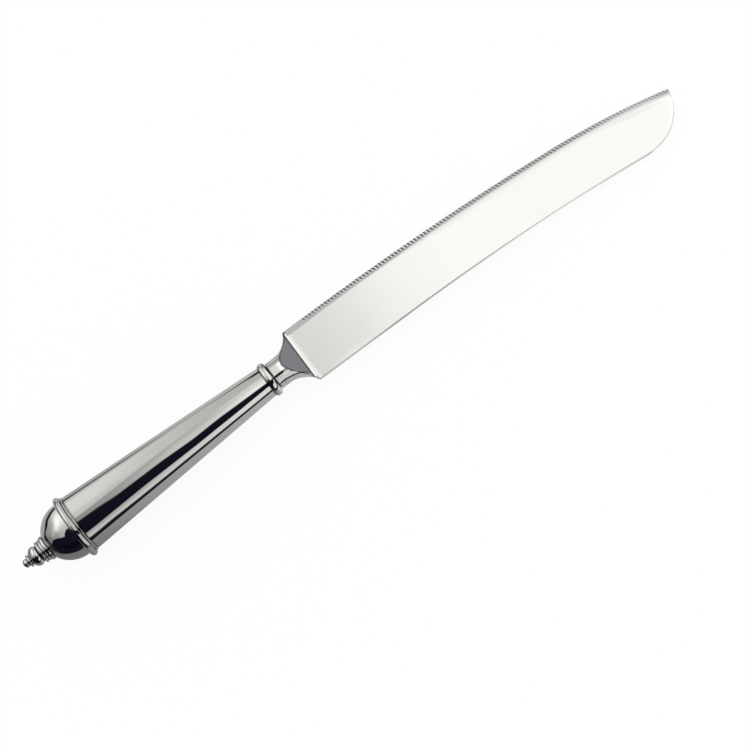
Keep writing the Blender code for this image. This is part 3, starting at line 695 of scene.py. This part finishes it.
def tang_rows(heel_section):
    """The heel's section squeezed to the tang's width, then carried back to its round end."""
    high, low = heel_section[:, 1].max(), heel_section[:, 1].min()
    share = 2 * (heel_section[:, 1] - low) / (high - low) - 1
    z = np.sign(heel_section[:, 2]) * TANG_HALF_THICKNESS
    end_x = HEEL_X - TANG_LENGTH
    angles = np.radians(np.linspace(0, 88, 8))
    round_x = end_x + TANG_END_HALF_WIDTH * (1 - np.sin(angles))
    stations = [(HEEL_X, TANG_HALF_WIDTH), (HEEL_X - TANG_PARALLEL, TANG_HALF_WIDTH)]
    stations += list(zip(round_x, TANG_END_HALF_WIDTH * np.cos(angles)))
    rows = [np.stack([x + 0 * z, share * half, z], -1) for x, half in stations]
    closing = rows[-1].copy()
    closing[:, 2] = 0
    return np.stack(rows + [closing])[::-1]


# Finishes

# Colours, in pairs where noise or a smudge leads from the first to the second
PLATE = ((0.722, 0.722, 0.718, 1), (0.700, 0.700, 0.696, 1))
STEEL = ((0.862, 0.867, 0.860, 1), (0.845, 0.850, 0.843, 1))
GROUND_STEEL = ((0.84, 0.84, 0.85, 1), (0.76, 0.76, 0.78, 1))
CEMENT = ((0.50, 0.48, 0.44, 1), (0.30, 0.285, 0.265, 1))
# Painted reflections on the bolster: the facet is tinted bluish grey and the lip near white,
# standing for what they mirror
BOLSTER_PAINTED_REFLECTIONS = {"facet": (0.728, 0.743, 0.790, 1), "lip": (0.90, 0.90, 0.89, 1)}
# Dark colour for tarnish in the seams, and for the painted dark reflection lines on the bolster
TARNISH_AND_PAINTED_SHADE = (0.10, 0.10, 0.11, 1)
POLISH_STRENGTH = 0.3
POLISH_DEPTH = 0.0000004
SMUDGE_DULLNESS = 0.02
SCRATCH_DULLNESS = 0.06
GROUND_DULLNESS = 0.05
TURNED_LINES = (6000, 60, 60)
FILED_LINES = (200, 5000, 200)
BLADE_LINES = (60, 6000, 200)
GRINDING_LINES = (7000, 300, 300)


def wired(tree, kind, settings, values):
    """A new node with its settings, each of its inputs linked to a socket or given its value."""
    made = tree.nodes.new(kind)
    for name, value in settings.items():
        setattr(made, name, value)
    for name, value in values.items():
        if isinstance(value, bpy.types.NodeSocket):
            tree.links.new(value, made.inputs[name])
        else:
            made.inputs[name].default_value = value
    return made


def new_group(name, takes, gives):
    """An empty node group with named inputs and float outputs, and its two end nodes."""
    tree = bpy.data.node_groups.new(name, "ShaderNodeTree")
    for label, kind in takes.items():
        tree.interface.new_socket(label, in_out="INPUT", socket_type=kind)
    for label in gives:
        tree.interface.new_socket(label, in_out="OUTPUT", socket_type="NodeSocketFloat")
    return tree, tree.nodes.new("NodeGroupInput").outputs, tree.nodes.new("NodeGroupOutput").inputs


def noise(tree, place, stretch, detail):
    """Noise whose grains are one over the stretch long along each of the knife's axes."""
    scaled = wired(tree, "ShaderNodeVectorMath", {"operation": "MULTIPLY"}, {0: place, 1: stretch})
    values = {"Vector": scaled.outputs[0], "Scale": 1.0, "Detail": detail}
    return wired(tree, "ShaderNodeTexNoise", {}, values).outputs["Fac"]


def ranged(tree, value, low, high, to_low=0, to_high=1):
    """The value carried from one range to another, and held inside it."""
    limits = {"Value": value, "From Min": low, "From Max": high}
    limits |= {"To Min": to_low, "To Max": to_high}
    return wired(tree, "ShaderNodeMapRange", {}, limits).outputs["Result"]


def worked_out(tree, operation, *values):
    made = wired(tree, "ShaderNodeMath", {"operation": operation}, dict(enumerate(values)))
    return made.outputs[0]


def handling_marks():
    """Soft smudges, and short hairline scratches in two directions that come in patches."""
    takes = {"Place": "NodeSocketVector"}
    tree, given, wanted = new_group("handling_marks", takes, ("Smudge", "Scratch"))
    place = given["Place"]
    soft = noise(tree, place, (70, 110, 110), 4.0)
    tree.links.new(ranged(tree, soft, 0.45, 0.75), wanted["Smudge"])
    values = {"Vector": place, "Angle": math.radians(38)}
    turned_place = wired(tree, "ShaderNodeVectorRotate", {"rotation_type": "Z_AXIS"}, values)
    aslant = turned_place.outputs["Vector"]
    along_lines = ranged(tree, noise(tree, place, (160, 9000, 3000), 1.0), 0.70, 0.78)
    slant_lines = ranged(tree, noise(tree, aslant, (240, 8000, 3000), 1.0), 0.72, 0.80)
    either = worked_out(tree, "MAXIMUM", along_lines, slant_lines)
    patches = ranged(tree, noise(tree, place, (45, 90, 90), 2.0), 0.5, 0.65)
    tree.links.new(worked_out(tree, "MULTIPLY", either, patches), wanted["Scratch"])
    return tree


def darkening_of_seams_and_painted_lines():
    """Dark polish residue in seams, and painted dark reflection lines on the bolster: the mark,
    broken up by noise.
    """
    takes = {"Place": "NodeSocketVector", "Seams_and_painted_lines": "NodeSocketFloat"}
    tree, given, wanted = new_group("darkening_of_seams_and_painted_lines", takes, ("Tarnish_and_painted_shade",))
    broken = ranged(tree, noise(tree, given["Place"], (900, 900, 900), 3.0), 0.3, 0.6, 0.75, 1.0)
    tree.links.new(worked_out(tree, "MULTIPLY", given["Seams_and_painted_lines"], broken), wanted["Tarnish_and_painted_shade"])
    return tree


def knife_place(tree):
    """Object coordinates taken back to the knife's own axes."""
    here = tree.nodes.new("ShaderNodeTexCoord").outputs["Object"]
    values = {"Vector": here, "Location": AXIS_PLACE, "Rotation": (0, AXIS_TILT, 0)}
    return wired(tree, "ShaderNodeMapping", {"vector_type": "TEXTURE"}, values).outputs["Vector"]


def marked(tree, name):
    return wired(tree, "ShaderNodeAttribute", {"attribute_name": name}, {}).outputs["Fac"]


def blended(tree, share, first, second):
    values = {"Factor": share, "A": first, "B": second}
    return wired(tree, "ShaderNodeMix", {"data_type": "RGBA"}, values).outputs["Result"]


def new_finish(name, metallic):
    made = bpy.data.materials.new(name)
    made.use_nodes = True
    tree = made.node_tree
    shader = tree.nodes["Principled BSDF"]
    shader.inputs["Metallic"].default_value = metallic
    return made, tree, shader


def grouped(tree, group, values):
    return wired(tree, "ShaderNodeGroup", {"node_tree": group}, values).outputs


def bumped(tree, height, strength, distance):
    values = {"Height": height, "Strength": strength, "Distance": distance}
    return wired(tree, "ShaderNodeBump", {}, values).outputs["Normal"]


def bright_metal(name, groups, colours, lines, roughness, painted_tints, ground_colours=None):
    """Near mirror, with faint polishing lines, smudges, scratches, tarnished seams and painted dark
    reflection lines.

    Marked parts take tints that paint in the tones they mirror. A ground part is duller, with
    grinding lines across it.
    """
    made, tree, shader = new_finish(name, 1)
    place = knife_place(tree)
    marks = grouped(tree, groups["marks"], {"Place": place})
    seam = grouped(tree, groups["seam"], {"Place": place, "Seams_and_painted_lines": marked(tree, "tarnish_and_painted_lines")})
    base = blended(tree, marks["Smudge"], *colours)
    rough = worked_out(tree, "MULTIPLY_ADD", marks["Smudge"], SMUDGE_DULLNESS, roughness)
    rough = worked_out(tree, "MULTIPLY_ADD", marks["Scratch"], SCRATCH_DULLNESS, rough)
    # Painted reflections: marked parts take a tint for the tone they mirror
    for mark, tint in painted_tints.items():
        base = blended(tree, marked(tree, mark), base, tint)
    if ground_colours:
        ground = marked(tree, "ground")
        bevel = blended(tree, noise(tree, place, GRINDING_LINES, 2.0), *ground_colours)
        base = blended(tree, ground, base, bevel)
        rough = worked_out(tree, "MULTIPLY_ADD", ground, GROUND_DULLNESS, rough)
    polished = bumped(tree, noise(tree, place, lines, 2.0), POLISH_STRENGTH, POLISH_DEPTH)
    # Tarnish in the seams and the bolster's painted dark reflection lines darken the base colour
    # here
    tree.links.new(blended(tree, seam["Tarnish_and_painted_shade"], base, TARNISH_AND_PAINTED_SHADE), shader.inputs["Base Color"])
    tree.links.new(rough, shader.inputs["Roughness"])
    tree.links.new(polished, shader.inputs["Normal"])
    return made


def set_cement():
    """Matte grey cement with fine sand in it."""
    made, tree, shader = new_finish("set_cement", 0)
    place = knife_place(tree)
    grit = noise(tree, place, (2500, 2500, 2500), 6.0)
    tree.links.new(blended(tree, grit, *CEMENT), shader.inputs["Base Color"])
    tree.links.new(ranged(tree, grit, 0.3, 0.7, 0.8, 0.95), shader.inputs["Roughness"])
    tree.links.new(bumped(tree, grit, 0.6, 0.0002), shader.inputs["Normal"])
    return made


# Studio

CAMERA_ROLL = math.radians(18.4)
CAMERA_DISTANCE = 1.5
FRAME_WIDTH = 0.301
AXIS_RIGHT, AXIS_UP = 0.79751, 0.60331
AIM_X, AIM_V = 32.7 * MM, -24.07 * MM


def make_camera():
    """A long lens square to the handle, rolled towards the spine, the knife lying uphill."""
    c, s = math.cos(CAMERA_ROLL), math.sin(CAMERA_ROLL)
    points = np.array([[0, 0, 0], [1, 0, 0], [0, c, s], [0, -s, c]])
    origin, along, across, back = lay_down(points)
    along, across, back = along - origin, across - origin, back - origin
    right = AXIS_RIGHT * along - AXIS_UP * across
    up = AXIS_UP * along + AXIS_RIGHT * across
    place = origin + AIM_X * along + AIM_V * across + CAMERA_DISTANCE * back
    lens = bpy.data.cameras.new("camera")
    lens.sensor_width = 36
    lens.lens = lens.sensor_width * CAMERA_DISTANCE / FRAME_WIDTH
    lens.clip_start, lens.clip_end = 0.05, 20
    made = bpy.data.objects.new("camera", lens)
    rows = np.stack([right, up, back, place], axis=-1).tolist()
    made.matrix_world = Matrix([*rows, (0, 0, 0, 1)])
    bpy.context.scene.collection.objects.link(made)
    bpy.context.scene.camera = made


TENT_RADIUS = 0.40
TENT_END_RADIUS = 1 * MM
TENT_HALF_LENGTH = 1.6
TENT_GRIP = (-0.080, 0.033)
TENT_PANEL_END = -0.0915
FLOOR_OWN_WHITE = 0.9
DARK = 0.004

# The tent's tables: places along it in metres, then tones, or angles in degrees
ROOF_LOW = ((-0.078, -0.054, -0.022, -0.004, 0.033), (0.36, 0.48, 0.73, 0.79, 1.14))
ROOF_TURN = ((-0.078, -0.054, -0.022, 0.033), (6, 11, 22, 28))
DOME_PLACES = (-1.3, -0.52, -0.45, -0.37, -0.28, -0.21, -0.14)
DOME_CLOTH = (DOME_PLACES, (0.25, 0.42, 0.47, 0.54, 0.60, 0.62, 0.66))
DOME_LAMP = (DOME_PLACES, (0.02, 0.22, 0.40, 0.64, 0.80, 0.76, 0.68))
DOME_LAMP_ANGLE = (DOME_PLACES, (20, 30, 27, 26, 38, 46, 50))
DOME_LAMP_SPREAD = (DOME_PLACES, (16, 16, 16, 17, 22, 30, 34))
BLADE_ROOF = ((0.005, 0.036, 0.056, 0.076, 0.100), (0.765, 0.857, 0.985, 1.06, 1.11))
BEVEL_LOW = ((0.03, 0.1, 0.2), (0.63, 0.66, 0.74))
BEVEL_HIGH = 1.1
BEVEL_FALL = ((24, 32, 45, 57, 68), (1, 0.94, 0.74, 0.42, 0))
NEAR_GROUND = (
    (-1.0, -0.5, -0.12, -0.095, -0.086, -0.071, -0.05, 0.033,
     0.055, 0.1, 0.14, 0.19, 0.22, 0.3, 0.5),
    (0.02, 0.20, 0.22, 0.285, 0.336, 0.385, 0.42, 0.56, 0.29, 0.58, 0.95, 0.46, 1.0, 0.8, 0.03),
)
GROUND_EDGE = (
    (-0.75, -0.45, -0.34, -0.14, -0.10, 0.02, 0.033),
    (-142, -121, -115.5, -112.5, -104.5, -103, -101),
)
PANEL_START = ((-0.086, -0.077, -0.062, -0.05, 0.02, 0.033), (-87, -85.5, -88, -88.5, -87.5, -85))
PANEL_EDGE = ((-0.08, -0.05, -0.015, 0.014, 0.033), (-64, -60.3, -62.2, -59.5, -54.5))
OPENING_EDGE = (
    (-1.6, -1.3, -0.77, -0.60, -0.39, -0.32, -0.26, -0.20, -0.16,
     -0.079, -0.069, -0.060, -0.031, -0.012, 0.005, 0.033),
    (12, 2, -7.6, -15, -24, -25, -14.6, -9, -7,
     -10.5, -12.4, -18.5, -18, -24.7, -20.1, -25.7),
)
SEAM_ANGLE = (
    (-0.75, -0.565, -0.45, -0.34, -0.25, -0.14, -0.08, -0.055,
     -0.04, -0.021, -0.002, 0.012, 0.017, 0.03, 0.1),
    (112, 94, 90, 96, 98, 105, 103.6, 100.5, 99, 92, 87, 84, 79, 76, 86),
)
SEAM_WIDTH = ((-0.45, -0.14, -0.10, -0.05, -0.002, 0.012, 0.017), (12, 9, 5, 4, 5, 8, 11))
SEAM_DEPTH = (
    (-0.079, -0.055, -0.039, -0.03, -0.021, -0.002, 0.012, 0.022, 0.027),
    (1, 0.65, 0.3, 0.25, 0.3, 0.7, 0.95, 1, 0),
)


def smooth(value, start, end):
    """Zero before start, one after end, and 3 t squared less 2 t cubed between."""
    t = np.clip((value - start) / (end - start), 0, 1)
    return t * t * (3 - 2 * t)


def between(value, start, end, blur):
    """One from start to end, fading to zero over the blur each side."""
    return smooth(value, start - blur, start + blur) * (1 - smooth(value, end - blur, end + blur))


def mixed(first, second, share):
    return first * (1 - share) + second * share


def read(table, place):
    """The table's value at a place, on straight lines between its knots."""
    return np.interp(place, *table)


def on_grip(x, rear, front):
    """A value that changes steadily from the collar's reflections to the front ring's."""
    return np.interp(x, TENT_GRIP, (rear, front))


def grip_roof(angle, x):
    """The roof over grip and blade: a dim sheet behind, a bright one in front, and their seam."""
    front = smooth(x, *TENT_GRIP)
    low = read(ROOF_LOW, x) - 0.18 * smooth(angle, -8, 8) * front
    high = on_grip(x, 0.72, 0.60) + 0.18 * smooth(angle, 14, 40) * (1 - front)
    high = high * (1 - 0.09 * between(x, -0.06, 0.015, 0.02) * smooth(angle, 24, 44))
    turn = read(ROOF_TURN, x)
    line = 0.16 * between(x, -0.045, 0.0, 0.012) * fading(angle - turn + 4, 4)
    fall = 0.3 * smooth(angle, 78, 92) * (1 - front)
    return mixed(low, high, smooth(angle, turn - 3, turn + 3)) * (1 - line) * (1 - fall)


def dome_roof(angle, x):
    """The roof behind: it darkens with distance and holds one soft lamp."""
    lamp = fading(angle - read(DOME_LAMP_ANGLE, x), read(DOME_LAMP_SPREAD, x))
    return read(DOME_CLOTH, x) + read(DOME_LAMP, x) * lamp


def roof_tone(angle, x, behind):
    """The roof, with what lies over blade, bevel, flutes, lip and facet let into it."""
    over_blade = between(angle, 14, 23, 2) * smooth(x, -0.004, 0.008)
    over_blade = np.maximum(over_blade, between(angle, -30, 24, 8) * smooth(x, 0.03, 0.05))
    over_bevel = between(angle, 55, 76, 4) * smooth(x, 0.022, 0.028)
    over_bevel = np.maximum(over_bevel, smooth(angle, 24, 32) * smooth(x, 0.04, 0.06))
    low = read(BEVEL_LOW, x)
    bevel_tone = low + (BEVEL_HIGH - low) * read(BEVEL_FALL, angle)
    over_flutes = smooth(angle, 70, 77) * smooth(x, 0.07, 0.15)
    over_flutes = np.maximum(over_flutes, smooth(angle, 44, 60) * smooth(x, 0.26, 0.34))
    over_lip = between(x, 0.26, 0.38, 0.03) * between(angle, 12, 34, 5)
    over_facet = between(x, 0.42, 0.60, 0.03) * between(angle, 22, 40, 4)
    roof = mixed(grip_roof(angle, x), dome_roof(angle, x), behind)
    roof = mixed(roof, read(BLADE_ROOF, x), over_blade)
    roof = mixed(roof, bevel_tone, over_bevel)
    roof = mixed(roof, 0.25, over_flutes)
    roof = mixed(roof, 1.55, over_lip)
    return mixed(roof, 0.275, over_facet)


def tent_tone(angle, x):
    """Brightness of the tent at an angle from overhead, positive to the fluted side, in degrees.

    Round from beneath the spine: grey ground, a dark seam, the side panel of light, the dark
    opening, the pale roof, a second dark seam and the far ground.
    """
    front = smooth(x, *TENT_GRIP)
    near_ground = read(NEAR_GROUND, x)
    beneath = smooth(np.abs(angle), 125, 150) * smooth(x, 0.22, 0.3)
    near_ground = mixed(near_ground, 1.0, beneath)
    far_ground = on_grip(x, 0.48, 0.69) * (1 - 0.85 * smooth(-x, 0.45, 0.75))
    far_ground = far_ground * (1 - 0.92 * smooth(x, 0.06, 0.14))
    panel = on_grip(x, 0.70, 0.97) * (1 - 0.3 * smooth(angle, -79, -68) * (1 - front))
    panel = panel * smooth(x, TENT_PANEL_END - 0.003, TENT_PANEL_END)
    seam_angle = read(SEAM_ANGLE, x)
    tone = near_ground
    for edge, blur, beyond in (
        (read(GROUND_EDGE, x), 1.5, DARK),
        (read(PANEL_START, x), 4, panel),
        (read(PANEL_EDGE, x), 1.5, DARK),
        (read(OPENING_EDGE, x), 3, roof_tone(angle, x, smooth(-x, 0.10, 0.14))),
        (seam_angle + 1, 1.5, far_ground),
    ):
        tone = mixed(tone, beyond, smooth(angle, edge - blur, edge + blur))
    seam = np.exp(-(((angle - seam_angle) / read(SEAM_WIDTH, x)) ** 4))
    tone = tone * (1 - read(SEAM_DEPTH, x) * seam)
    return mixed(tone, near_ground, smooth(angle, 150, 180))


def glowing_paper():
    """Paper that shines by its tone mark, seen from its inner side alone."""
    paper = bpy.data.materials.new("studio_paper")
    paper.use_nodes = True
    tree = paper.node_tree
    tree.nodes.clear()
    values = {"Factor": marked(tree, "tone"), "A": (0.004, 0.004, 0.012, 1), "B": (1, 1, 0.962, 1)}
    tint = wired(tree, "ShaderNodeMix", {"data_type": "RGBA", "clamp_factor": False}, values)
    glow = wired(tree, "ShaderNodeEmission", {}, {"Color": tint.outputs["Result"]}).outputs[0]
    clear = tree.nodes.new("ShaderNodeBsdfTransparent").outputs[0]
    side = tree.nodes.new("ShaderNodeNewGeometry").outputs["Backfacing"]
    shown = wired(tree, "ShaderNodeMixShader", {}, {0: side, 1: clear, 2: glow})
    wired(tree, "ShaderNodeOutputMaterial", {}, {"Surface": shown.outputs[0]})
    paper.cycles.emission_sampling = "NONE"
    return paper


def studio_sheet(name, x, radius, angle, tone, closed, paper):
    """A lit sheet round the knife's axis, seen in the knife's reflections alone.

    Rows differ in x or radius, columns in the angle from overhead, positive to the fluted
    side, in degrees: y = radius sin angle, z = radius cos angle.
    """
    turn = np.radians(angle)
    grid = np.broadcast_arrays(x, radius * np.sin(turn), radius * np.cos(turn))
    points = np.stack(grid, axis=-1)
    rows, columns = points.shape[:2]
    tone = np.broadcast_to(tone, (rows, columns))
    faces = grid_faces(rows, columns, False).reshape(rows - 1, columns, 4)
    if not closed:
        faces = faces[:, :-1]
    mesh = bpy.data.meshes.new(name)
    mesh.from_pydata(lay_down(points.reshape(-1, 3)), [], faces.reshape(-1, 4).tolist())
    layer = mesh.attributes.new("tone", "FLOAT", "POINT")
    layer.data.foreach_set("value", tone.astype(np.float32).ravel())
    sheet = shown_as(name, mesh, paper)
    sheet.visible_camera = sheet.visible_diffuse = sheet.visible_shadow = False
    sheet.visible_transmission = sheet.visible_volume_scatter = False


def make_tent(paper):
    """A tube of paper round the knife's axis."""
    angle = np.linspace(-180, 180, 1081)[None, :-1]
    rear = -np.geomspace(0.12, TENT_HALF_LENGTH, 90)[::-1]
    x = np.concatenate([rear, np.linspace(-0.12, 0.12, 121)[1:-1], -rear[::-1]])[:, None]
    radius = TENT_RADIUS * np.ones_like(x)
    radius[0] = radius[-1] = TENT_END_RADIUS
    studio_sheet("studio_tent", x, radius, angle, tent_tone(angle, x), True, paper)


def neck_tone(angle, x):
    """Round the neck: panel, dark opening, pale roof, its dimmer half, the far seam, far ground.

    Before the facet the roof is white and the opening ends.
    """
    near_facet = smooth(x, 2.9 * MM, 4.2 * MM)
    roof = mixed(0.95, 0.61, smooth(angle, 24, 31))
    roof = mixed(roof, 1.5, near_facet * (1 - smooth(angle, 24, 32)))
    opening = 0.005 + 0.45 * smooth(x, 3.9 * MM, 4.3 * MM)
    tone = mixed(0.72 + 0.18 * near_facet, opening, smooth(angle, -34, -32))
    tone = mixed(tone, roof, smooth(angle, -21, -19))
    seam = 0.85 * between(angle, 44.2, 49.4, 0.8)
    return tone * (1 - seam) * (1 + 0.07 * smooth(angle, 47, 49))


def flare_tone(angle, radius):
    """What the flare mirrors: the same zones, the opening lower the nearer it is to the neck."""
    opening = read(((12, 15, 24, 30), (-76, -60, -37, -26.5)), radius / MM)
    half = read(((15, 24, 30), (4, 5, 6.5)), radius / MM)
    seam = read(((12, 18), (-112, -101)), radius / MM)
    tone = 0.54 * (1 - smooth(angle, seam - 1, seam + 1))
    tone = tone + 0.8 * smooth(angle, seam + 12, seam + 14)
    roof = 0.85 + 0.4 * smooth(radius, 20 * MM, 28 * MM)
    roof = mixed(roof, 0.62, smooth(angle, 50, 66))
    tone = mixed(tone, roof, smooth(angle, opening - 2, opening + 2))
    tone = tone * (1 - 0.99 * between(angle, opening - half, opening + half, 1.5))
    return tone * (1 - 0.95 * between(angle, 71, 81, 2)) * (1 - 0.15 * smooth(angle, 80, 84))


def collar_tone(angle):
    """What the front of the bead mirrors: ground, seam, panel, opening, roof, seam, far ground."""
    tone = 0.30
    zones = (-73, DARK), (-69, 0.624), (-36, DARK), (-26, 0.684), (52, 0.034), (56, 0.474)
    for edge, beyond in zones:
        tone = mixed(tone, beyond, smooth(angle, edge - 1, edge + 1))
    return tone


def make_cards(paper):
    """Cards by the knife: round the neck, behind the flare, beyond the bevel, before the collar."""
    x = np.array([0.2, 2.9, 3.2, 3.5, 3.8, 4.2, 5.2])[:, None] * MM
    angle = np.linspace(-49, 62, 223)[None, :]
    studio_sheet("neck_card", x, 9 * MM, angle, neck_tone(angle, x), False, paper)
    angle = np.linspace(-180, 180, 361)[None, :-1]
    radius = np.concatenate([np.linspace(9.5, 32, 46), [60, 100]])[:, None] * MM
    studio_sheet("flare_card", 0.1 * MM, radius, angle, flare_tone(angle, radius), True, paper)
    x = np.array([13.0, 24.3])[:, None] * MM
    angle = np.linspace(64, 88, 5)[None, :]
    studio_sheet("bevel_card", x, 30 * MM, angle, 0.58, False, paper)
    angle = np.linspace(180, -180, 361)[None, :-1]
    radius = np.array([13.2, 15, 20, 26, 32])[:, None] * MM
    x = COLLAR_FRONT_X + 0.4 * MM
    studio_sheet("collar_card", x, radius, angle, collar_tone(angle), True, paper)


def make_floor():
    """A white table, nine tenths of its white its own, so that the shadow on it stays pale."""
    half = 6.0
    corners = [(-half, -half, 0), (half, -half, 0), (half, half, 0), (-half, half, 0)]
    mesh = bpy.data.meshes.new("floor")
    mesh.from_pydata(corners, [], [(0, 1, 2, 3)])
    paper = bpy.data.materials.new("white_paper")
    paper.use_nodes = True
    tree = paper.node_tree
    tree.nodes.clear()
    lit = wired(tree, "ShaderNodeBsdfDiffuse", {}, {"Color": (1, 1, 1, 1)}).outputs[0]
    own = wired(tree, "ShaderNodeEmission", {}, {"Color": (1, 1, 1, 1)}).outputs[0]
    seen = tree.nodes.new("ShaderNodeLightPath").outputs["Is Camera Ray"]
    share = worked_out(tree, "MULTIPLY", seen, FLOOR_OWN_WHITE)
    both = wired(tree, "ShaderNodeMixShader", {}, {0: share, 1: lit, 2: own})
    wired(tree, "ShaderNodeOutputMaterial", {}, {"Surface": both.outputs[0]})
    floor = shown_as("floor", mesh, paper)
    floor.visible_glossy = False


def make_world():
    world = bpy.data.worlds.new("studio")
    world.use_nodes = True
    light = world.node_tree.nodes["Background"].inputs
    light["Color"].default_value = (1, 1, 1, 1)
    light["Strength"].default_value = 1
    bpy.context.scene.world = world


def dress():
    groups = {"marks": handling_marks(), "seam": darkening_of_seams_and_painted_lines()}
    plate = bright_metal("turned_plate", groups, PLATE, TURNED_LINES, 0.03, {})
    filed = bright_metal("bolster_plate", groups, PLATE, FILED_LINES, 0.04, BOLSTER_PAINTED_REFLECTIONS)
    steel = bright_metal("mirror_steel", groups, STEEL, BLADE_LINES, 0.05, {}, GROUND_STEEL)
    pieces = {
        make_blade(steel): "blade",
        make_bolster(filed): "bolster",
        make_front_ring(plate): "front_ring",
        make_handle_body(plate): "handle_body",
        make_butt_collar(plate): "butt_collar",
        make_butt_dome(plate): "butt_dome",
        make_finial_collar(plate): "finial_collar",
        make_finial(plate): "finial",
    }
    for piece, node in pieces.items():
        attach(piece, "root")
        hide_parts(node)
    cement = set_cement()
    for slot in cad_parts["handle_filler"].material_slots:
        slot.material = cement


dress()
make_floor()
STUDIO_PAPER = glowing_paper()
make_tent(STUDIO_PAPER)
make_cards(STUDIO_PAPER)
make_world()
make_camera()
bpy.context.scene.view_settings.view_transform = "Standard"
